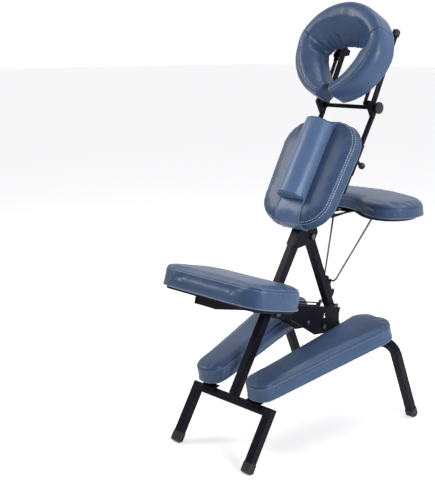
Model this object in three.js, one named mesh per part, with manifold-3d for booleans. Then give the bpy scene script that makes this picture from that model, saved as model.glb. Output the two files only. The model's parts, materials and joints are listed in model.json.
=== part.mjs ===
// Folding massage chair. Millimetres, +Z up. The client faces +Y and +X is the client's right.
import * as THREE from 'three';
import { mergeVertices } from 'three/addons/utils/BufferGeometryUtils.js';
import Module from 'manifold-3d';

const wasm = await Module();
wasm.setup();

// ---------------------------------------------------------------- driving dimensions
const GAP = 0.3; // kept between two pieces that touch
const TUBE = 25.4; // square frame tube
const WALL = 1.8;
const HALF = TUBE / 2;
const PLATE = 3.5; // steel plate

const SPINE_TILT = 31.3; // degrees from vertical, leaning forward
const SPINE_TOP = 968; // along the spine from the floor
const REAR_HALF = 148; // leg centre to the middle plane
const REAR_BAR = 176; // crossbar axis, along the legs from the floor

const FRONT_TILT = 23.3; // degrees from vertical, leaning back
const FRONT_FEET_Y = 663; // front feet ahead of the rear feet
const FRONT_HALF = 227;
const FRONT_BAR = 284;
const ELBOW_R = 36; // bend radius of the front base
const PIVOT_UP = 636; // main pivot, along the front tube from the floor
const PIVOT_BOLT_R = 5;

const SEAT_TILT = 12.97; // seat slopes down towards the front
const SEAT_PIVOT_UP = 450.4; // along the spine
const SEAT_HALF = 207;
const SEAT_REAR = -268; // measured from the seat pivot
const SEAT_FRONT = -48;
const SEAT_RAIL_TOP = 26.8; // above the seat pivot
const SEAT_PLATE_X = 38; // inner face of the side plates
const SEAT_THICK = 63;
const LATCH_UP = 353; // height of the latch pin above the floor

const KNEE_TILT = 13.5; // knee pads rise towards the front
const KNEE_REAR = -485; // measured from the front crossbar
const KNEE_FRONT = 18;
const KNEE_THICK = 56;
const KNEE_BOARD_BOTTOM = 20.5; // above the crossbar axis
const KNEE_BOARD = 7.5;

const CHEST_BOTTOM = 706; // along the spine
const CHEST_TOP = 1052;
const CHEST_BACK = 20; // behind the spine axis
const CHEST_THICK = 48;
const BOLSTER_R = 49;
const BOLSTER_BOTTOM = 778;
const BOLSTER_TOP = 1030;

const POST_X = 99; // head posts
const POST_P = 9; // ahead of the spine axis
const POST_R = 8;
const POST_BOTTOM = 850;
const SLEEVE_BOTTOM = 912;
const SLEEVE_LENGTH = 98;
const AXLE = { y: 589.8, z: 966.2 };
const AXLE_R = 6.5;
const ARM_TILT = 26.7;
const ARM_LENGTH = 243;
const ARM_UPPER_PIVOT = 182.4;
const LINK_OFFSET = 30; // link pivots behind the arm pivots
const HEAD_X = 94.3; // inner face of the post heads
const ARM_X = 90.2;
const ARM_THICK = 7;
const LINK_X = 83.9;
const LINK_THICK = 4;
const BRACKET_X = 76.6;
const BRACKET_THICK = 10;

const RING_TILT = 23;
const RING = { y: 553, z: 1125 };
const RING_HALF_WIDTH = 166;
const RING_ABOVE = 160; // above and below the middle of the ring
const RING_BELOW = 146;
const RING_THICK = 80;
const RING_BOARD = 9;
const RING_HINGE = { fwd: 62, up: 20 }; // in the ring's own frame

const ARMREST = { y: 500, z: 640 }; // armrest hinge
const ARMREST_HALF = 258;
const ARMREST_THICK = 45;
const BAIL_TOP = { y: 130, z: -6 }; // from the armrest hinge
const BAIL_HALF_TOP = 80;
const BAIL_LENGTH = 236.6;
const BAIL_R = 3;
const BAIL_TILT = 29.6;

// ---------------------------------------------------------------- materials
function steel() {
  return new THREE.MeshStandardMaterial({ color: 0x23232b, roughness: 0.42, metalness: 0.55 });
}
function vinyl() {
  return new THREE.MeshStandardMaterial({ color: 0x4b5d80, roughness: 0.45, metalness: 0 });
}
function plywood() {
  return new THREE.MeshStandardMaterial({ color: 0x3a3733, roughness: 0.8, metalness: 0 });
}
function rubber() {
  return new THREE.MeshStandardMaterial({ color: 0x141416, roughness: 0.75, metalness: 0 });
}
function knobPlastic() {
  return new THREE.MeshStandardMaterial({ color: 0x1c1c20, roughness: 0.5, metalness: 0 });
}
function zinc() {
  return new THREE.MeshStandardMaterial({ color: 0x9a9ca2, roughness: 0.35, metalness: 0.9 });
}

// ---------------------------------------------------------------- solids
function toSolid(geometry) {
  const bare = geometry.clone();
  bare.deleteAttribute('normal');
  bare.deleteAttribute('uv');
  const merged = mergeVertices(bare, 1e-4);
  return new wasm.Manifold(new wasm.Mesh({
    numProp: 3,
    vertProperties: Float32Array.from(merged.attributes.position.array),
    triVerts: Uint32Array.from(merged.index.array),
  }));
}

function toGeometry(solid) {
  const mesh = solid.getMesh();
  const geometry = new THREE.BufferGeometry();
  geometry.setAttribute('position', new THREE.BufferAttribute(mesh.vertProperties, 3));
  geometry.setIndex(new THREE.BufferAttribute(mesh.triVerts, 1));
  geometry.computeVertexNormals();
  return geometry;
}

function cut(geometry, tools) {
  let solid = toSolid(geometry);
  for (const tool of tools) solid = solid.subtract(toSolid(tool));
  return toGeometry(solid);
}

function join(pieces) {
  let solid = toSolid(pieces[0]);
  for (const piece of pieces.slice(1)) solid = solid.add(toSolid(piece));
  return toGeometry(solid);
}

function common(a, b) {
  return toGeometry(toSolid(a).intersect(toSolid(b)));
}

// ---------------------------------------------------------------- shape helpers
const rad = THREE.MathUtils.degToRad;

function block(x0, x1, y0, y1, z0, z1) {
  const geometry = new THREE.BoxGeometry(x1 - x0, y1 - y0, z1 - z0);
  geometry.translate((x0 + x1) / 2, (y0 + y1) / 2, (z0 + z1) / 2);
  return geometry;
}

function rodX(radius, x0, x1, y = 0, z = 0, sides = 20) {
  const geometry = new THREE.CylinderGeometry(radius, radius, x1 - x0, sides);
  geometry.rotateZ(Math.PI / 2);
  geometry.translate((x0 + x1) / 2, y, z);
  return geometry;
}

function rodY(radius, y0, y1, x = 0, z = 0, sides = 20) {
  const geometry = new THREE.CylinderGeometry(radius, radius, y1 - y0, sides);
  geometry.translate(x, (y0 + y1) / 2, z);
  return geometry;
}

function rodZ(radius, z0, z1, x = 0, y = 0, sides = 24) {
  const geometry = new THREE.CylinderGeometry(radius, radius, z1 - z0, sides);
  geometry.rotateX(Math.PI / 2);
  geometry.translate(x, y, (z0 + z1) / 2);
  return geometry;
}

function roundedRect(halfX, halfY, r) {
  const shape = new THREE.Shape();
  shape.moveTo(halfX - r, -halfY);
  shape.absarc(halfX - r, -halfY + r, r, -Math.PI / 2, 0, false);
  shape.absarc(halfX - r, halfY - r, r, 0, Math.PI / 2, false);
  shape.absarc(-halfX + r, halfY - r, r, Math.PI / 2, Math.PI, false);
  shape.absarc(-halfX + r, -halfY + r, r, Math.PI, Math.PI * 1.5, false);
  return shape;
}

// Square tube along Z from z0 to z1. A wall of 0 makes it solid.
function squareTube(size, wall, z0, z1) {
  const shape = roundedRect(size / 2, size / 2, 2.4);
  if (wall > 0) shape.holes.push(roundedRect(size / 2 - wall, size / 2 - wall, 1));
  const geometry = new THREE.ExtrudeGeometry(shape, { depth: z1 - z0, bevelEnabled: false, curveSegments: 3 });
  geometry.translate(0, 0, z0);
  return geometry;
}

function roundTube(radius, wall, z0, z1) {
  const shape = new THREE.Shape();
  shape.absarc(0, 0, radius, 0, Math.PI * 2, false);
  const bore = new THREE.Path();
  bore.absarc(0, 0, radius - wall, 0, Math.PI * 2, true);
  shape.holes.push(bore);
  const geometry = new THREE.ExtrudeGeometry(shape, { depth: z1 - z0, bevelEnabled: false, curveSegments: 12 });
  geometry.translate(0, 0, z0);
  return geometry;
}

// Plate in the YZ plane with its thickness along X, from x0 to x1. Points are [y, z].
function plateX(points, x0, x1) {
  const shape = new THREE.Shape(points.map(([y, z]) => new THREE.Vector2(y, z)));
  const geometry = new THREE.ExtrudeGeometry(shape, { depth: x1 - x0, bevelEnabled: false });
  geometry.rotateY(Math.PI / 2);
  geometry.rotateX(Math.PI / 2);
  geometry.translate(x0, 0, 0);
  return geometry;
}

// Slab in the XY plane, z0 to z1, with its edges rounded by the bevel.
function slab(shape, z0, z1, bevel, inwards = bevel) {
  const geometry = new THREE.ExtrudeGeometry(shape, {
    depth: z1 - z0 - 2 * bevel,
    bevelEnabled: bevel > 0,
    bevelThickness: bevel,
    bevelSize: inwards,
    bevelOffset: -inwards,
    bevelSegments: 3,
  });
  geometry.translate(0, 0, z0 + bevel);
  return geometry;
}

// Bolt along X: shank between two heads whose inner faces are at x0 and x1.
function boltX(radius, x0, x1, headRadius, headLength) {
  const profile = [
    [0, x0 - headLength], [headRadius, x0 - headLength], [headRadius, x0], [radius, x0],
    [radius, x1], [headRadius, x1], [headRadius, x1 + headLength], [0, x1 + headLength],
  ];
  const geometry = new THREE.LatheGeometry(profile.map(([r, h]) => new THREE.Vector2(r, h)), 20);
  geometry.rotateZ(-Math.PI / 2);
  return geometry;
}

function mirroredOutline(points) {
  const left = points.filter(([x]) => x > 0).map(([x, y]) => [-x, y]).reverse();
  return points.concat(left);
}

function splineShape(points) {
  const curve = new THREE.CatmullRomCurve3(points.map(([x, y]) => new THREE.Vector3(x, y, 0)), true, 'centripetal');
  return new THREE.Shape(curve.getPoints(points.length * 2).slice(0, -1).map((p) => new THREE.Vector2(p.x, p.y)));
}

function insetSpline(points, inset) {
  const cx = points.reduce((sum, [x]) => sum + x, 0) / points.length;
  const cy = points.reduce((sum, [, y]) => sum + y, 0) / points.length;
  const moved = points.map(([x, y]) => {
    const d = Math.hypot(x - cx, y - cy);
    return [x - (x - cx) * inset / d, y - (y - cy) * inset / d];
  });
  return splineShape(moved);
}

// ---------------------------------------------------------------- scene graph helpers
const chair = new THREE.Group();

function frameAt(y, z, leanForward) {
  const group = new THREE.Group();
  group.position.set(0, y, z);
  group.rotation.x = -rad(leanForward);
  chair.add(group);
  return group;
}

function place(group, name, geometry, material, x = 0, y = 0, z = 0) {
  const mesh = new THREE.Mesh(geometry, material);
  mesh.name = name;
  mesh.position.set(x, y, z);
  group.add(mesh);
}

const SIDES = [['left', -1], ['right', 1]];

function mirrorX(geometry, side) {
  if (side > 0) return geometry;
  const copy = geometry.clone();
  copy.applyMatrix4(new THREE.Matrix4().makeScale(-1, 1, 1));
  return toGeometry(flipped(copy));
}

function flipped(geometry) {
  const bare = geometry.clone();
  bare.deleteAttribute('normal');
  bare.deleteAttribute('uv');
  const merged = mergeVertices(bare, 1e-4);
  const tris = Uint32Array.from(merged.index.array);
  for (let i = 0; i < tris.length; i += 3) {
    const swap = tris[i];
    tris[i] = tris[i + 1];
    tris[i + 1] = swap;
  }
  return new wasm.Manifold(new wasm.Mesh({
    numProp: 3, vertProperties: Float32Array.from(merged.attributes.position.array), triVerts: tris,
  }));
}

// A point of the side view, in a frame that leans forward by the given angle from (y0, z0).
function inFrame(y, z, y0, z0, lean) {
  const dy = y - y0;
  const dz = z - z0;
  const c = Math.cos(rad(lean));
  const s = Math.sin(rad(lean));
  return { p: dy * c - dz * s, u: dy * s + dz * c };
}

const PIVOT = {
  y: FRONT_FEET_Y - Math.sin(rad(FRONT_TILT)) * PIVOT_UP,
  z: Math.cos(rad(FRONT_TILT)) * PIVOT_UP,
};
const SEAT_PIVOT = {
  y: Math.sin(rad(SPINE_TILT)) * SEAT_PIVOT_UP,
  z: Math.cos(rad(SPINE_TILT)) * SEAT_PIVOT_UP,
};
const KNEE_HINGE_AT = {
  y: FRONT_FEET_Y - Math.sin(rad(FRONT_TILT)) * FRONT_BAR,
  z: Math.cos(rad(FRONT_TILT)) * FRONT_BAR,
};

// ---------------------------------------------------------------- feet
const FOOT_WALL = 1;
const FOOT_FLOOR = 4;
const FOOT_HEIGHT = 18;
const FOOT_ROUND = 17; // radius of the round end, of which the floor cuts off a slice this thick:
const FOOT_FLAT = 1.5;

function legEnd(lean) {
  return (FOOT_FLOOR + HALF * Math.sin(rad(lean))) / Math.cos(rad(lean)) + 1;
}

// Rubber cap around a leaning leg, round below and cut flat where it meets the floor.
function footCap(lean, sign) {
  const end = legEnd(lean);
  const outside = squareTube(TUBE + 2 * (FOOT_WALL + GAP), 0, -20, end + FOOT_HEIGHT);
  const pocket = squareTube(TUBE + 2 * GAP, 0, end - GAP, end + FOOT_HEIGHT + 5);
  const above = block(-100, 100, -100, 100, 0, 200);
  above.rotateX(rad(sign * lean));
  const middle = (FOOT_ROUND - FOOT_FLAT) / Math.cos(rad(lean));
  const round = join([rodX(FOOT_ROUND, -30, 30, 0, middle, 48), block(-30, 30, -30, 30, middle, 90)]);
  return common(common(cut(outside, [pocket]), above), round);
}

// ---------------------------------------------------------------- rear frame
function mitre(side, top) {
  // Wedge that trims a corner along the 45 degree line through the leg and crossbar axes.
  const wedge = block(0, 120, -40, 40, -60, 60);
  wedge.rotateY(side > 0 ? (top ? -Math.PI / 4 : Math.PI * 0.75) : (top ? -Math.PI * 0.75 : Math.PI / 4));
  return wedge;
}

function rearCrossbar() {
  const long = REAR_HALF + HALF;
  const bar = squareTube(TUBE, WALL, -long, long);
  bar.rotateY(Math.PI / 2);
  const trims = SIDES.map(([, side]) => {
    const wedge = mitre(side, false);
    wedge.rotateY(side > 0 ? -Math.PI / 2 : Math.PI / 2);
    wedge.translate(side * (REAR_HALF + GAP / 2), 0, -GAP / 2);
    return wedge;
  });
  return cut(bar, trims);
}

function rearLeg(side) {
  const leg = squareTube(TUBE, WALL, legEnd(SPINE_TILT), REAR_BAR + HALF);
  const wedge = mitre(side, true);
  wedge.rotateY(side > 0 ? -Math.PI / 2 : Math.PI / 2);
  wedge.translate(0, 0, REAR_BAR - GAP);
  return cut(leg, [wedge]);
}

function rearFrame() {
  const group = frameAt(0, 0, SPINE_TILT);
  place(group, 'rear_crossbar', rearCrossbar(), steel(), 0, 0, REAR_BAR);
  for (const [word, side] of SIDES) {
    place(group, `rear_leg_${word}`, rearLeg(side), steel(), side * REAR_HALF);
    place(group, `rear_foot_${word}`, footCap(SPINE_TILT, 1), rubber(), side * REAR_HALF);
  }
  const foot = REAR_BAR + HALF + GAP;
  const bore = rodX(PIVOT_BOLT_R + GAP, -30, 30, 0, SEAT_PIVOT_UP);
  place(group, 'rear_spine', cut(squareTube(TUBE, WALL, foot, SPINE_TOP), [bore]), steel());
  kneeRests(group);
  pivotPlates(group);
  postYoke(group);
  armrestBracket(group);
}

// Bent clips on the crossbar that the rear ends of the knee pads rest on.
function kneeRests(group) {
  const lean = SPINE_TILT + KNEE_TILT;
  for (const [word, side] of SIDES) {
    const x0 = side > 0 ? 62 : -120;
    const strip = block(x0, x0 + 58, -13, 13, 18.2, 20.2);
    strip.rotateX(rad(lean));
    const corner = squareTube(TUBE + 2 * GAP, 0, -60, 60);
    corner.rotateY(Math.PI / 2);
    corner.translate(x0 + 29, 0, 0);
    const lip = block(x0, x0 + 58, -HALF - GAP - 2, -HALF - GAP, 1, 12);
    place(group, `knee_rest_${word}`, cut(join([strip, lip]), [corner]), steel(), 0, 0, REAR_BAR);
  }
}

// Two plates that hold the front frame's pivot ahead of the spine.
function pivotPlates(group) {
  const at = inFrame(PIVOT.y, PIVOT.z, 0, 0, SPINE_TILT);
  const outline = [
    [-HALF, at.u - 55], [-HALF, at.u + 58], [22, at.u + 58], [at.p + 16, at.u + 22],
    [at.p + 18, at.u - 6], [at.p + 4, at.u - 20], [8, at.u - 55],
  ];
  const bore = rodX(PIVOT_BOLT_R + GAP, -30, 30, at.p, at.u);
  for (const [word, side] of SIDES) {
    const x0 = side > 0 ? HALF + GAP : -HALF - GAP - PLATE;
    place(group, `pivot_plate_${word}`, cut(plateX(outline, x0, x0 + PLATE), [bore]), steel());
  }
  const reach = HALF + PLATE + 2 * GAP;
  place(group, 'main_pivot_bolt', boltX(PIVOT_BOLT_R, -reach, reach, 9, 6), zinc(), 0, at.p, at.u);
}

// Crossbar with a sleeve at each end, in which the head posts slide.
function postYoke(group) {
  const sleeveR = POST_R + 2.6;
  const middle = SLEEVE_BOTTOM + SLEEVE_LENGTH * 0.45;
  const barP = HALF + GAP + 9.5;
  const pieces = [block(-POST_X + 7, POST_X - 7, barP - 9.5, barP + 9.5, middle - 9.5, middle + 9.5)];
  for (const [, side] of SIDES) {
    pieces.push(rodZ(sleeveR, SLEEVE_BOTTOM, SLEEVE_BOTTOM + SLEEVE_LENGTH, side * POST_X, POST_P));
    pieces.push(rodY(6.5, POST_P + 8, POST_P + sleeveR + 6, side * POST_X, SLEEVE_BOTTOM + 46));
  }
  const bores = [];
  for (const [, side] of SIDES) {
    bores.push(rodZ(POST_R + GAP, SLEEVE_BOTTOM - 5, SLEEVE_BOTTOM + SLEEVE_LENGTH + 5, side * POST_X, POST_P));
    bores.push(rodY(3.3, POST_P, POST_P + sleeveR + 12, side * POST_X, SLEEVE_BOTTOM + 46));
  }
  place(group, 'post_yoke', cut(join(pieces), bores), steel());
  for (const [word, side] of SIDES) {
    place(group, `height_knob_${word}`, heightKnob(), knobPlastic(),
      side * POST_X, POST_P + POST_R + GAP * 2, SLEEVE_BOTTOM + 46);
  }
}

// Clamp knob with its screw. The screw end is at y = 0 and the knob is ahead of it.
function heightKnob() {
  const profile = [
    [0, 0], [3, 0], [3, 16], [5.5, 16.5], [6, 19], [9.5, 23], [10.5, 28], [9.5, 33], [6, 36.5], [0, 38],
  ];
  return new THREE.LatheGeometry(profile.map(([r, h]) => new THREE.Vector2(r, h)), 20);
}

function armrestBracket(group) {
  // Fork plates from the spine to the armrest hinge.
  const hinge = inFrame(ARMREST.y, ARMREST.z, 0, 0, SPINE_TILT);
  const outline = [
    [HALF + GAP, hinge.u - 34], [HALF + GAP, hinge.u + 24], [hinge.p - 6, hinge.u + 11],
    [hinge.p + 9, hinge.u + 7], [hinge.p + 9, hinge.u - 8], [hinge.p - 8, hinge.u - 12],
  ];
  const fork = plateX(outline, -19, 19);
  const bore = rodX(4 + GAP, -40, 40, hinge.p, hinge.u);
  place(group, 'armrest_bracket', cut(fork, [bore]), steel());
}

// ---------------------------------------------------------------- front frame
function elbow(size, r) {
  const h = size / 2;
  const c = 2.4;
  const profile = [
    [r - h + c, -h], [r + h - c, -h], [r + h, -h + c], [r + h, h - c],
    [r + h - c, h], [r - h + c, h], [r - h, h - c], [r - h, -h + c], [r - h + c, -h],
  ];
  const ring = new THREE.LatheGeometry(profile.map(([x, y]) => new THREE.Vector2(x, y)), 24);
  return ring; // a ring about Y, lying in the XZ plane
}

// Bent base: a leg, an elbow, the crossbar, an elbow and a leg. Lies in the XZ plane.
function bentBase(size, from) {
  const turn = FRONT_HALF - ELBOW_R;
  const level = FRONT_BAR - ELBOW_R;
  const bar = squareTube(size, 0, -turn, turn);
  bar.rotateY(Math.PI / 2);
  bar.translate(0, 0, FRONT_BAR);
  const pieces = [bar];
  for (const [, side] of SIDES) {
    const leg = squareTube(size, 0, from, level);
    leg.translate(side * FRONT_HALF, 0, 0);
    pieces.push(leg);
    const quarter = side > 0 ? block(0, 80, -40, 40, 0, 80) : block(-80, 0, -40, 40, 0, 80);
    const bend = common(elbow(size, ELBOW_R), quarter);
    bend.translate(side * turn, 0, level);
    pieces.push(bend);
  }
  return join(pieces);
}

function frontFrame() {
  const group = frameAt(FRONT_FEET_Y, 0, -FRONT_TILT);
  const end = legEnd(FRONT_TILT);
  const base = cut(bentBase(TUBE, end), [bentBase(TUBE - 2 * WALL, end - 5)]);
  place(group, 'front_base', base, steel());
  for (const [word, side] of SIDES) {
    place(group, `front_foot_${word}`, footCap(FRONT_TILT, -1), rubber(), side * FRONT_HALF);
  }
  const latchUp = LATCH_UP / Math.cos(rad(FRONT_TILT));
  const tube = squareTube(TUBE, WALL, FRONT_BAR + HALF + GAP, PIVOT_UP + 17);
  const bores = [
    rodX(PIVOT_BOLT_R + GAP, -30, 30, 0, PIVOT_UP),
    rodX(4 + GAP, -30, 30, 0, latchUp),
  ];
  place(group, 'front_tube', cut(tube, bores), steel());
  const pinEnd = SEAT_PLATE_X - 2;
  place(group, 'latch_pin', boltX(4, 4 - pinEnd, pinEnd - 4, 6, 4), zinc(), 0, 0, latchUp);
  place(group, 'prop_rack', rack(), steel());
  kneeLugs(group);
}

// Toothed rack on the forward face of the front tube. The bail sits in its upper notch.
const TOOTH_PITCH = 38;
const BAIL_FOOT = inFrame(
  ARMREST.y + BAIL_TOP.y - Math.sin(rad(BAIL_TILT)) * BAIL_LENGTH,
  ARMREST.z + BAIL_TOP.z - Math.cos(rad(BAIL_TILT)) * BAIL_LENGTH,
  FRONT_FEET_Y, 0, -FRONT_TILT,
);

function rack() {
  const face = HALF + GAP;
  const floor = BAIL_FOOT.p - BAIL_R - GAP;
  const lip = BAIL_FOOT.p + BAIL_R;
  const outline = [[face, BAIL_FOOT.u - TOOTH_PITCH - 24]];
  for (const up of [BAIL_FOOT.u - TOOTH_PITCH, BAIL_FOOT.u]) {
    const ledge = up - BAIL_R - GAP;
    outline.push([floor, ledge - 12], [lip + 2.5, ledge - 3], [lip + 3, ledge + 4], [lip + 0.5, ledge + 4]);
    outline.push([lip - 0.5, ledge], [floor + 1, ledge], [floor, ledge + 2], [floor, ledge + 8]);
  }
  outline.push([floor + 3, BAIL_FOOT.u + 13], [floor + 1, BAIL_FOOT.u + 18], [face, BAIL_FOOT.u + 32]);
  return plateX(outline, -3, 3);
}

// Lugs behind the front crossbar that carry the knee pad hinge pins.
const LUG_X = 118;
const LUG_HALF = 12;
const KNEE_PIN = { y: -28, z: 7 }; // in the knee pad's frame, from the crossbar axis

function kneeLugs(group) {
  const c = Math.cos(rad(KNEE_TILT - FRONT_TILT));
  const s = Math.sin(rad(KNEE_TILT - FRONT_TILT));
  const pin = { y: KNEE_PIN.y * c - KNEE_PIN.z * s, z: KNEE_PIN.y * s + KNEE_PIN.z * c };
  const face = -HALF - GAP;
  const outline = [
    [face, -9], [face, 11], [pin.y + 2, pin.z + 8], [pin.y - 7, pin.z + 4], [pin.y - 7, pin.z - 5],
    [pin.y, pin.z - 8],
  ];
  for (const [word, side] of SIDES) {
    const x = side * LUG_X;
    const lug = plateX(outline, x - LUG_HALF, x + LUG_HALF);
    const bore = rodX(4 + GAP, x - 30, x + 30, pin.y, pin.z);
    place(group, `knee_lug_${word}`, cut(lug, [bore]), steel(), 0, 0, FRONT_BAR);
  }
}

// ---------------------------------------------------------------- knee pads
// Outline of the right pad in its own frame: narrow behind, wide in front, splayed outwards.
function kneeOutline(inset) {
  const inner = (y) => 50 + (y - KNEE_REAR) * 0.0755;
  const outer = (y) => 156 + (y - KNEE_REAR) * 0.177;
  const rearR = 48;
  const frontR = 58;
  const y0 = KNEE_REAR;
  const y1 = KNEE_FRONT;
  const points = [];
  const corner = (x, y, r, a0, a1) => {
    for (let i = 0; i <= 6; i += 1) {
      const a = rad(a0 + (a1 - a0) * i / 6);
      points.push(new THREE.Vector2(x + (r - inset) * Math.cos(a), y + (r - inset) * Math.sin(a)));
    }
  };
  corner(outer(y0) - rearR, y0 + rearR, rearR, -90, -10);
  corner(outer(y1) - frontR, y1 - frontR, frontR, -10, 90);
  corner(inner(y1) + frontR, y1 - frontR, frontR, 90, 178);
  corner(inner(y0) + rearR, y0 + rearR, rearR, 178, 270);
  return new THREE.Shape(points);
}

function kneePads() {
  const group = frameAt(KNEE_HINGE_AT.y, KNEE_HINGE_AT.z, -KNEE_TILT);
  const boardTop = KNEE_BOARD_BOTTOM + KNEE_BOARD;
  for (const [word, side] of SIDES) {
    const board = slab(kneeOutline(18), KNEE_BOARD_BOTTOM, boardTop, 0);
    place(group, `knee_board_${word}`, mirrorX(board, side), plywood());
    const cushion = slab(kneeOutline(0), boardTop + GAP, boardTop + KNEE_THICK, 10);
    place(group, `knee_cushion_${word}`, mirrorX(cushion, side), vinyl());
    place(group, `knee_bracket_${word}`, kneeBracket(side), steel());
  }
}

// Channel under the board with a cheek on each side of the lug and the pin through both.
function kneeBracket(side) {
  const x = side * LUG_X;
  const cheek = LUG_HALF + GAP;
  const outline = [
    [KNEE_PIN.y - 42, KNEE_BOARD_BOTTOM - GAP], [KNEE_PIN.y - 42, KNEE_BOARD_BOTTOM - 5],
    [KNEE_PIN.y - 8, KNEE_PIN.z - 5], [KNEE_PIN.y, KNEE_PIN.z - 8], [KNEE_PIN.y + 8, KNEE_PIN.z - 3],
    [KNEE_PIN.y + 5, KNEE_BOARD_BOTTOM - GAP],
  ];
  const web = block(x - cheek - 3, x + cheek + 3, KNEE_PIN.y - 90, KNEE_PIN.y + 5,
    KNEE_BOARD_BOTTOM - GAP - 2.5, KNEE_BOARD_BOTTOM - GAP);
  return join([
    web,
    plateX(outline, x - cheek - 3, x - cheek),
    plateX(outline, x + cheek, x + cheek + 3),
    rodX(4, x - cheek - 5, x + cheek + 5, KNEE_PIN.y, KNEE_PIN.z),
  ]);
}

// ---------------------------------------------------------------- seat
function seatOutline(inset) {
  const rearR = 52;
  const frontR = 86;
  const points = [];
  const corner = (x, y, r, a0) => {
    for (let i = 0; i <= 6; i += 1) {
      const a = rad(a0 + 15 * i);
      points.push(new THREE.Vector2(x + (r - inset) * Math.cos(a), y + (r - inset) * Math.sin(a)));
    }
  };
  corner(SEAT_HALF - rearR, SEAT_REAR + rearR, rearR, -90);
  corner(SEAT_HALF - frontR, SEAT_FRONT - frontR, frontR, 0);
  corner(-SEAT_HALF + frontR, SEAT_FRONT - frontR, frontR, 90);
  corner(-SEAT_HALF + rearR, SEAT_REAR + rearR, rearR, 180);
  return new THREE.Shape(points);
}

function seatSidePlate(side) {
  const x0 = side > 0 ? SEAT_PLATE_X : -SEAT_PLATE_X - PLATE;
  const top = SEAT_RAIL_TOP;
  const outline = [
    [SEAT_REAR + 12, top], [SEAT_REAR + 12, top - 20], [-40, top - 20], [-16, -14], [60, -16], [184, -62],
    [284, -50], [290, -12], [286, 8], [288, top],
  ];
  const tools = [
    rodX(PIVOT_BOLT_R + GAP, -60, 60, 0, 0),
    block(-60, 60, 214, 220, -9, 6),
    block(-60, 60, 219, 224, -9, -3),
  ];
  if (side < 0) tools.push(block(-60, 60, 178, 268, top - 9, top - 4));
  return cut(plateX(outline, x0, x0 + PLATE), tools);
}

function seat() {
  const group = frameAt(SEAT_PIVOT.y, SEAT_PIVOT.z, SEAT_TILT);
  group.rotation.x = -rad(SEAT_TILT);
  const boardBottom = SEAT_RAIL_TOP + GAP;
  const boardTop = boardBottom + 6;
  place(group, 'seat_board', slab(seatOutline(14), boardBottom, boardTop, 0), plywood());
  place(group, 'seat_cushion', slab(seatOutline(0), boardTop + GAP, boardTop + SEAT_THICK, 10), vinyl());
  for (const [word, side] of SIDES) {
    place(group, `seat_side_plate_${word}`, seatSidePlate(side), steel());
  }
  const inside = SEAT_PLATE_X - GAP;
  const rearMember = squareTube(20, 1.6, -inside, inside);
  rearMember.rotateY(Math.PI / 2);
  place(group, 'seat_rear_member', rearMember, steel(), 0, SEAT_REAR + 24, SEAT_RAIL_TOP - 10);
  const frontMember = squareTube(20, 1.6, -inside, inside);
  frontMember.rotateY(Math.PI / 2);
  place(group, 'seat_front_member', frontMember, steel(), 0, -64, SEAT_RAIL_TOP - 10);
  const reach = SEAT_PLATE_X + PLATE + GAP;
  place(group, 'seat_pivot_bolt', boltX(PIVOT_BOLT_R, -reach, reach, 9, 5), zinc());
}

// ---------------------------------------------------------------- chest pad
// Frame: +Y points away from the client, +Z up the spine. Outlines are drawn in XZ.
function chestOutline(inset) {
  const wide = 143;
  const narrow = 135;
  const topR = 92;
  const bottomR = 88;
  const points = [];
  const corner = (x, z, r, a0, a1) => {
    for (let i = 0; i <= 7; i += 1) {
      const a = rad(a0 + (a1 - a0) * i / 7);
      points.push(new THREE.Vector2(x + (r - inset) * Math.cos(a), z + (r - inset) * Math.sin(a)));
    }
  };
  corner(narrow - bottomR, CHEST_BOTTOM + bottomR, bottomR, -90, -4);
  corner(wide - topR, CHEST_TOP - topR, topR, -4, 90);
  corner(-wide + topR, CHEST_TOP - topR, topR, 90, 184);
  corner(-narrow + bottomR, CHEST_BOTTOM + bottomR, bottomR, 184, 270);
  return new THREE.Shape(points);
}

// Slab drawn in XZ with its thickness towards the client, from back to back + thick.
function chestSlab(shape, back, thick, bevel) {
  const geometry = slab(shape, 0, thick, bevel, bevel * 0.7);
  geometry.rotateX(Math.PI / 2);
  geometry.translate(0, -back, 0);
  return geometry;
}

function chestPad() {
  const group = frameAt(0, 0, SPINE_TILT);
  const board = 9;
  place(group, 'chest_plate', block(-32, 32, -CHEST_BACK + GAP, -HALF - GAP, 770, 920), steel());
  place(group, 'chest_board', chestSlab(chestOutline(14), CHEST_BACK, board, 0), plywood());
  place(group, 'chest_cushion', chestSlab(chestOutline(0), CHEST_BACK + board + GAP, CHEST_THICK, 22), vinyl());
  const front = CHEST_BACK + board + CHEST_THICK + 2 * GAP;
  place(group, 'bolster_flap', bolsterFlap(front), vinyl());
  place(group, 'chest_bolster', bolster(front + 2 + GAP), vinyl());
}

// Half round bolster, flat side against the pad.
function bolster(front) {
  const shape = new THREE.Shape();
  shape.absarc(0, 0, BOLSTER_R, 0, Math.PI, false);
  const geometry = new THREE.ExtrudeGeometry(shape, {
    depth: BOLSTER_TOP - BOLSTER_BOTTOM, bevelEnabled: false, curveSegments: 16,
  });
  geometry.rotateZ(Math.PI);
  geometry.translate(0, -front, BOLSTER_BOTTOM);
  return geometry;
}

// Vinyl strap, 2 mm thick, from behind the board over the top, under the bolster and round the bottom.
function bolsterFlap(front) {
  const t = 2;
  const top = CHEST_TOP + GAP;
  const bottom = CHEST_BOTTOM - GAP;
  const behind = CHEST_BACK - GAP;
  const outline = [
    [-behind, top - 60], [-behind, top], [-front + 6, top], [-front, top - 6],
    [-front, bottom + 6], [-front + 6, bottom], [-behind, bottom], [-behind, bottom + 50],
    [-behind + t, bottom + 50], [-behind + t, bottom - t], [-front + 5, bottom - t], [-front - t, bottom + 5],
    [-front - t, top - 5], [-front + 5, top + t], [-behind + t, top + t], [-behind + t, top - 60],
  ];
  return plateX(outline, -46, 46);
}

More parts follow.
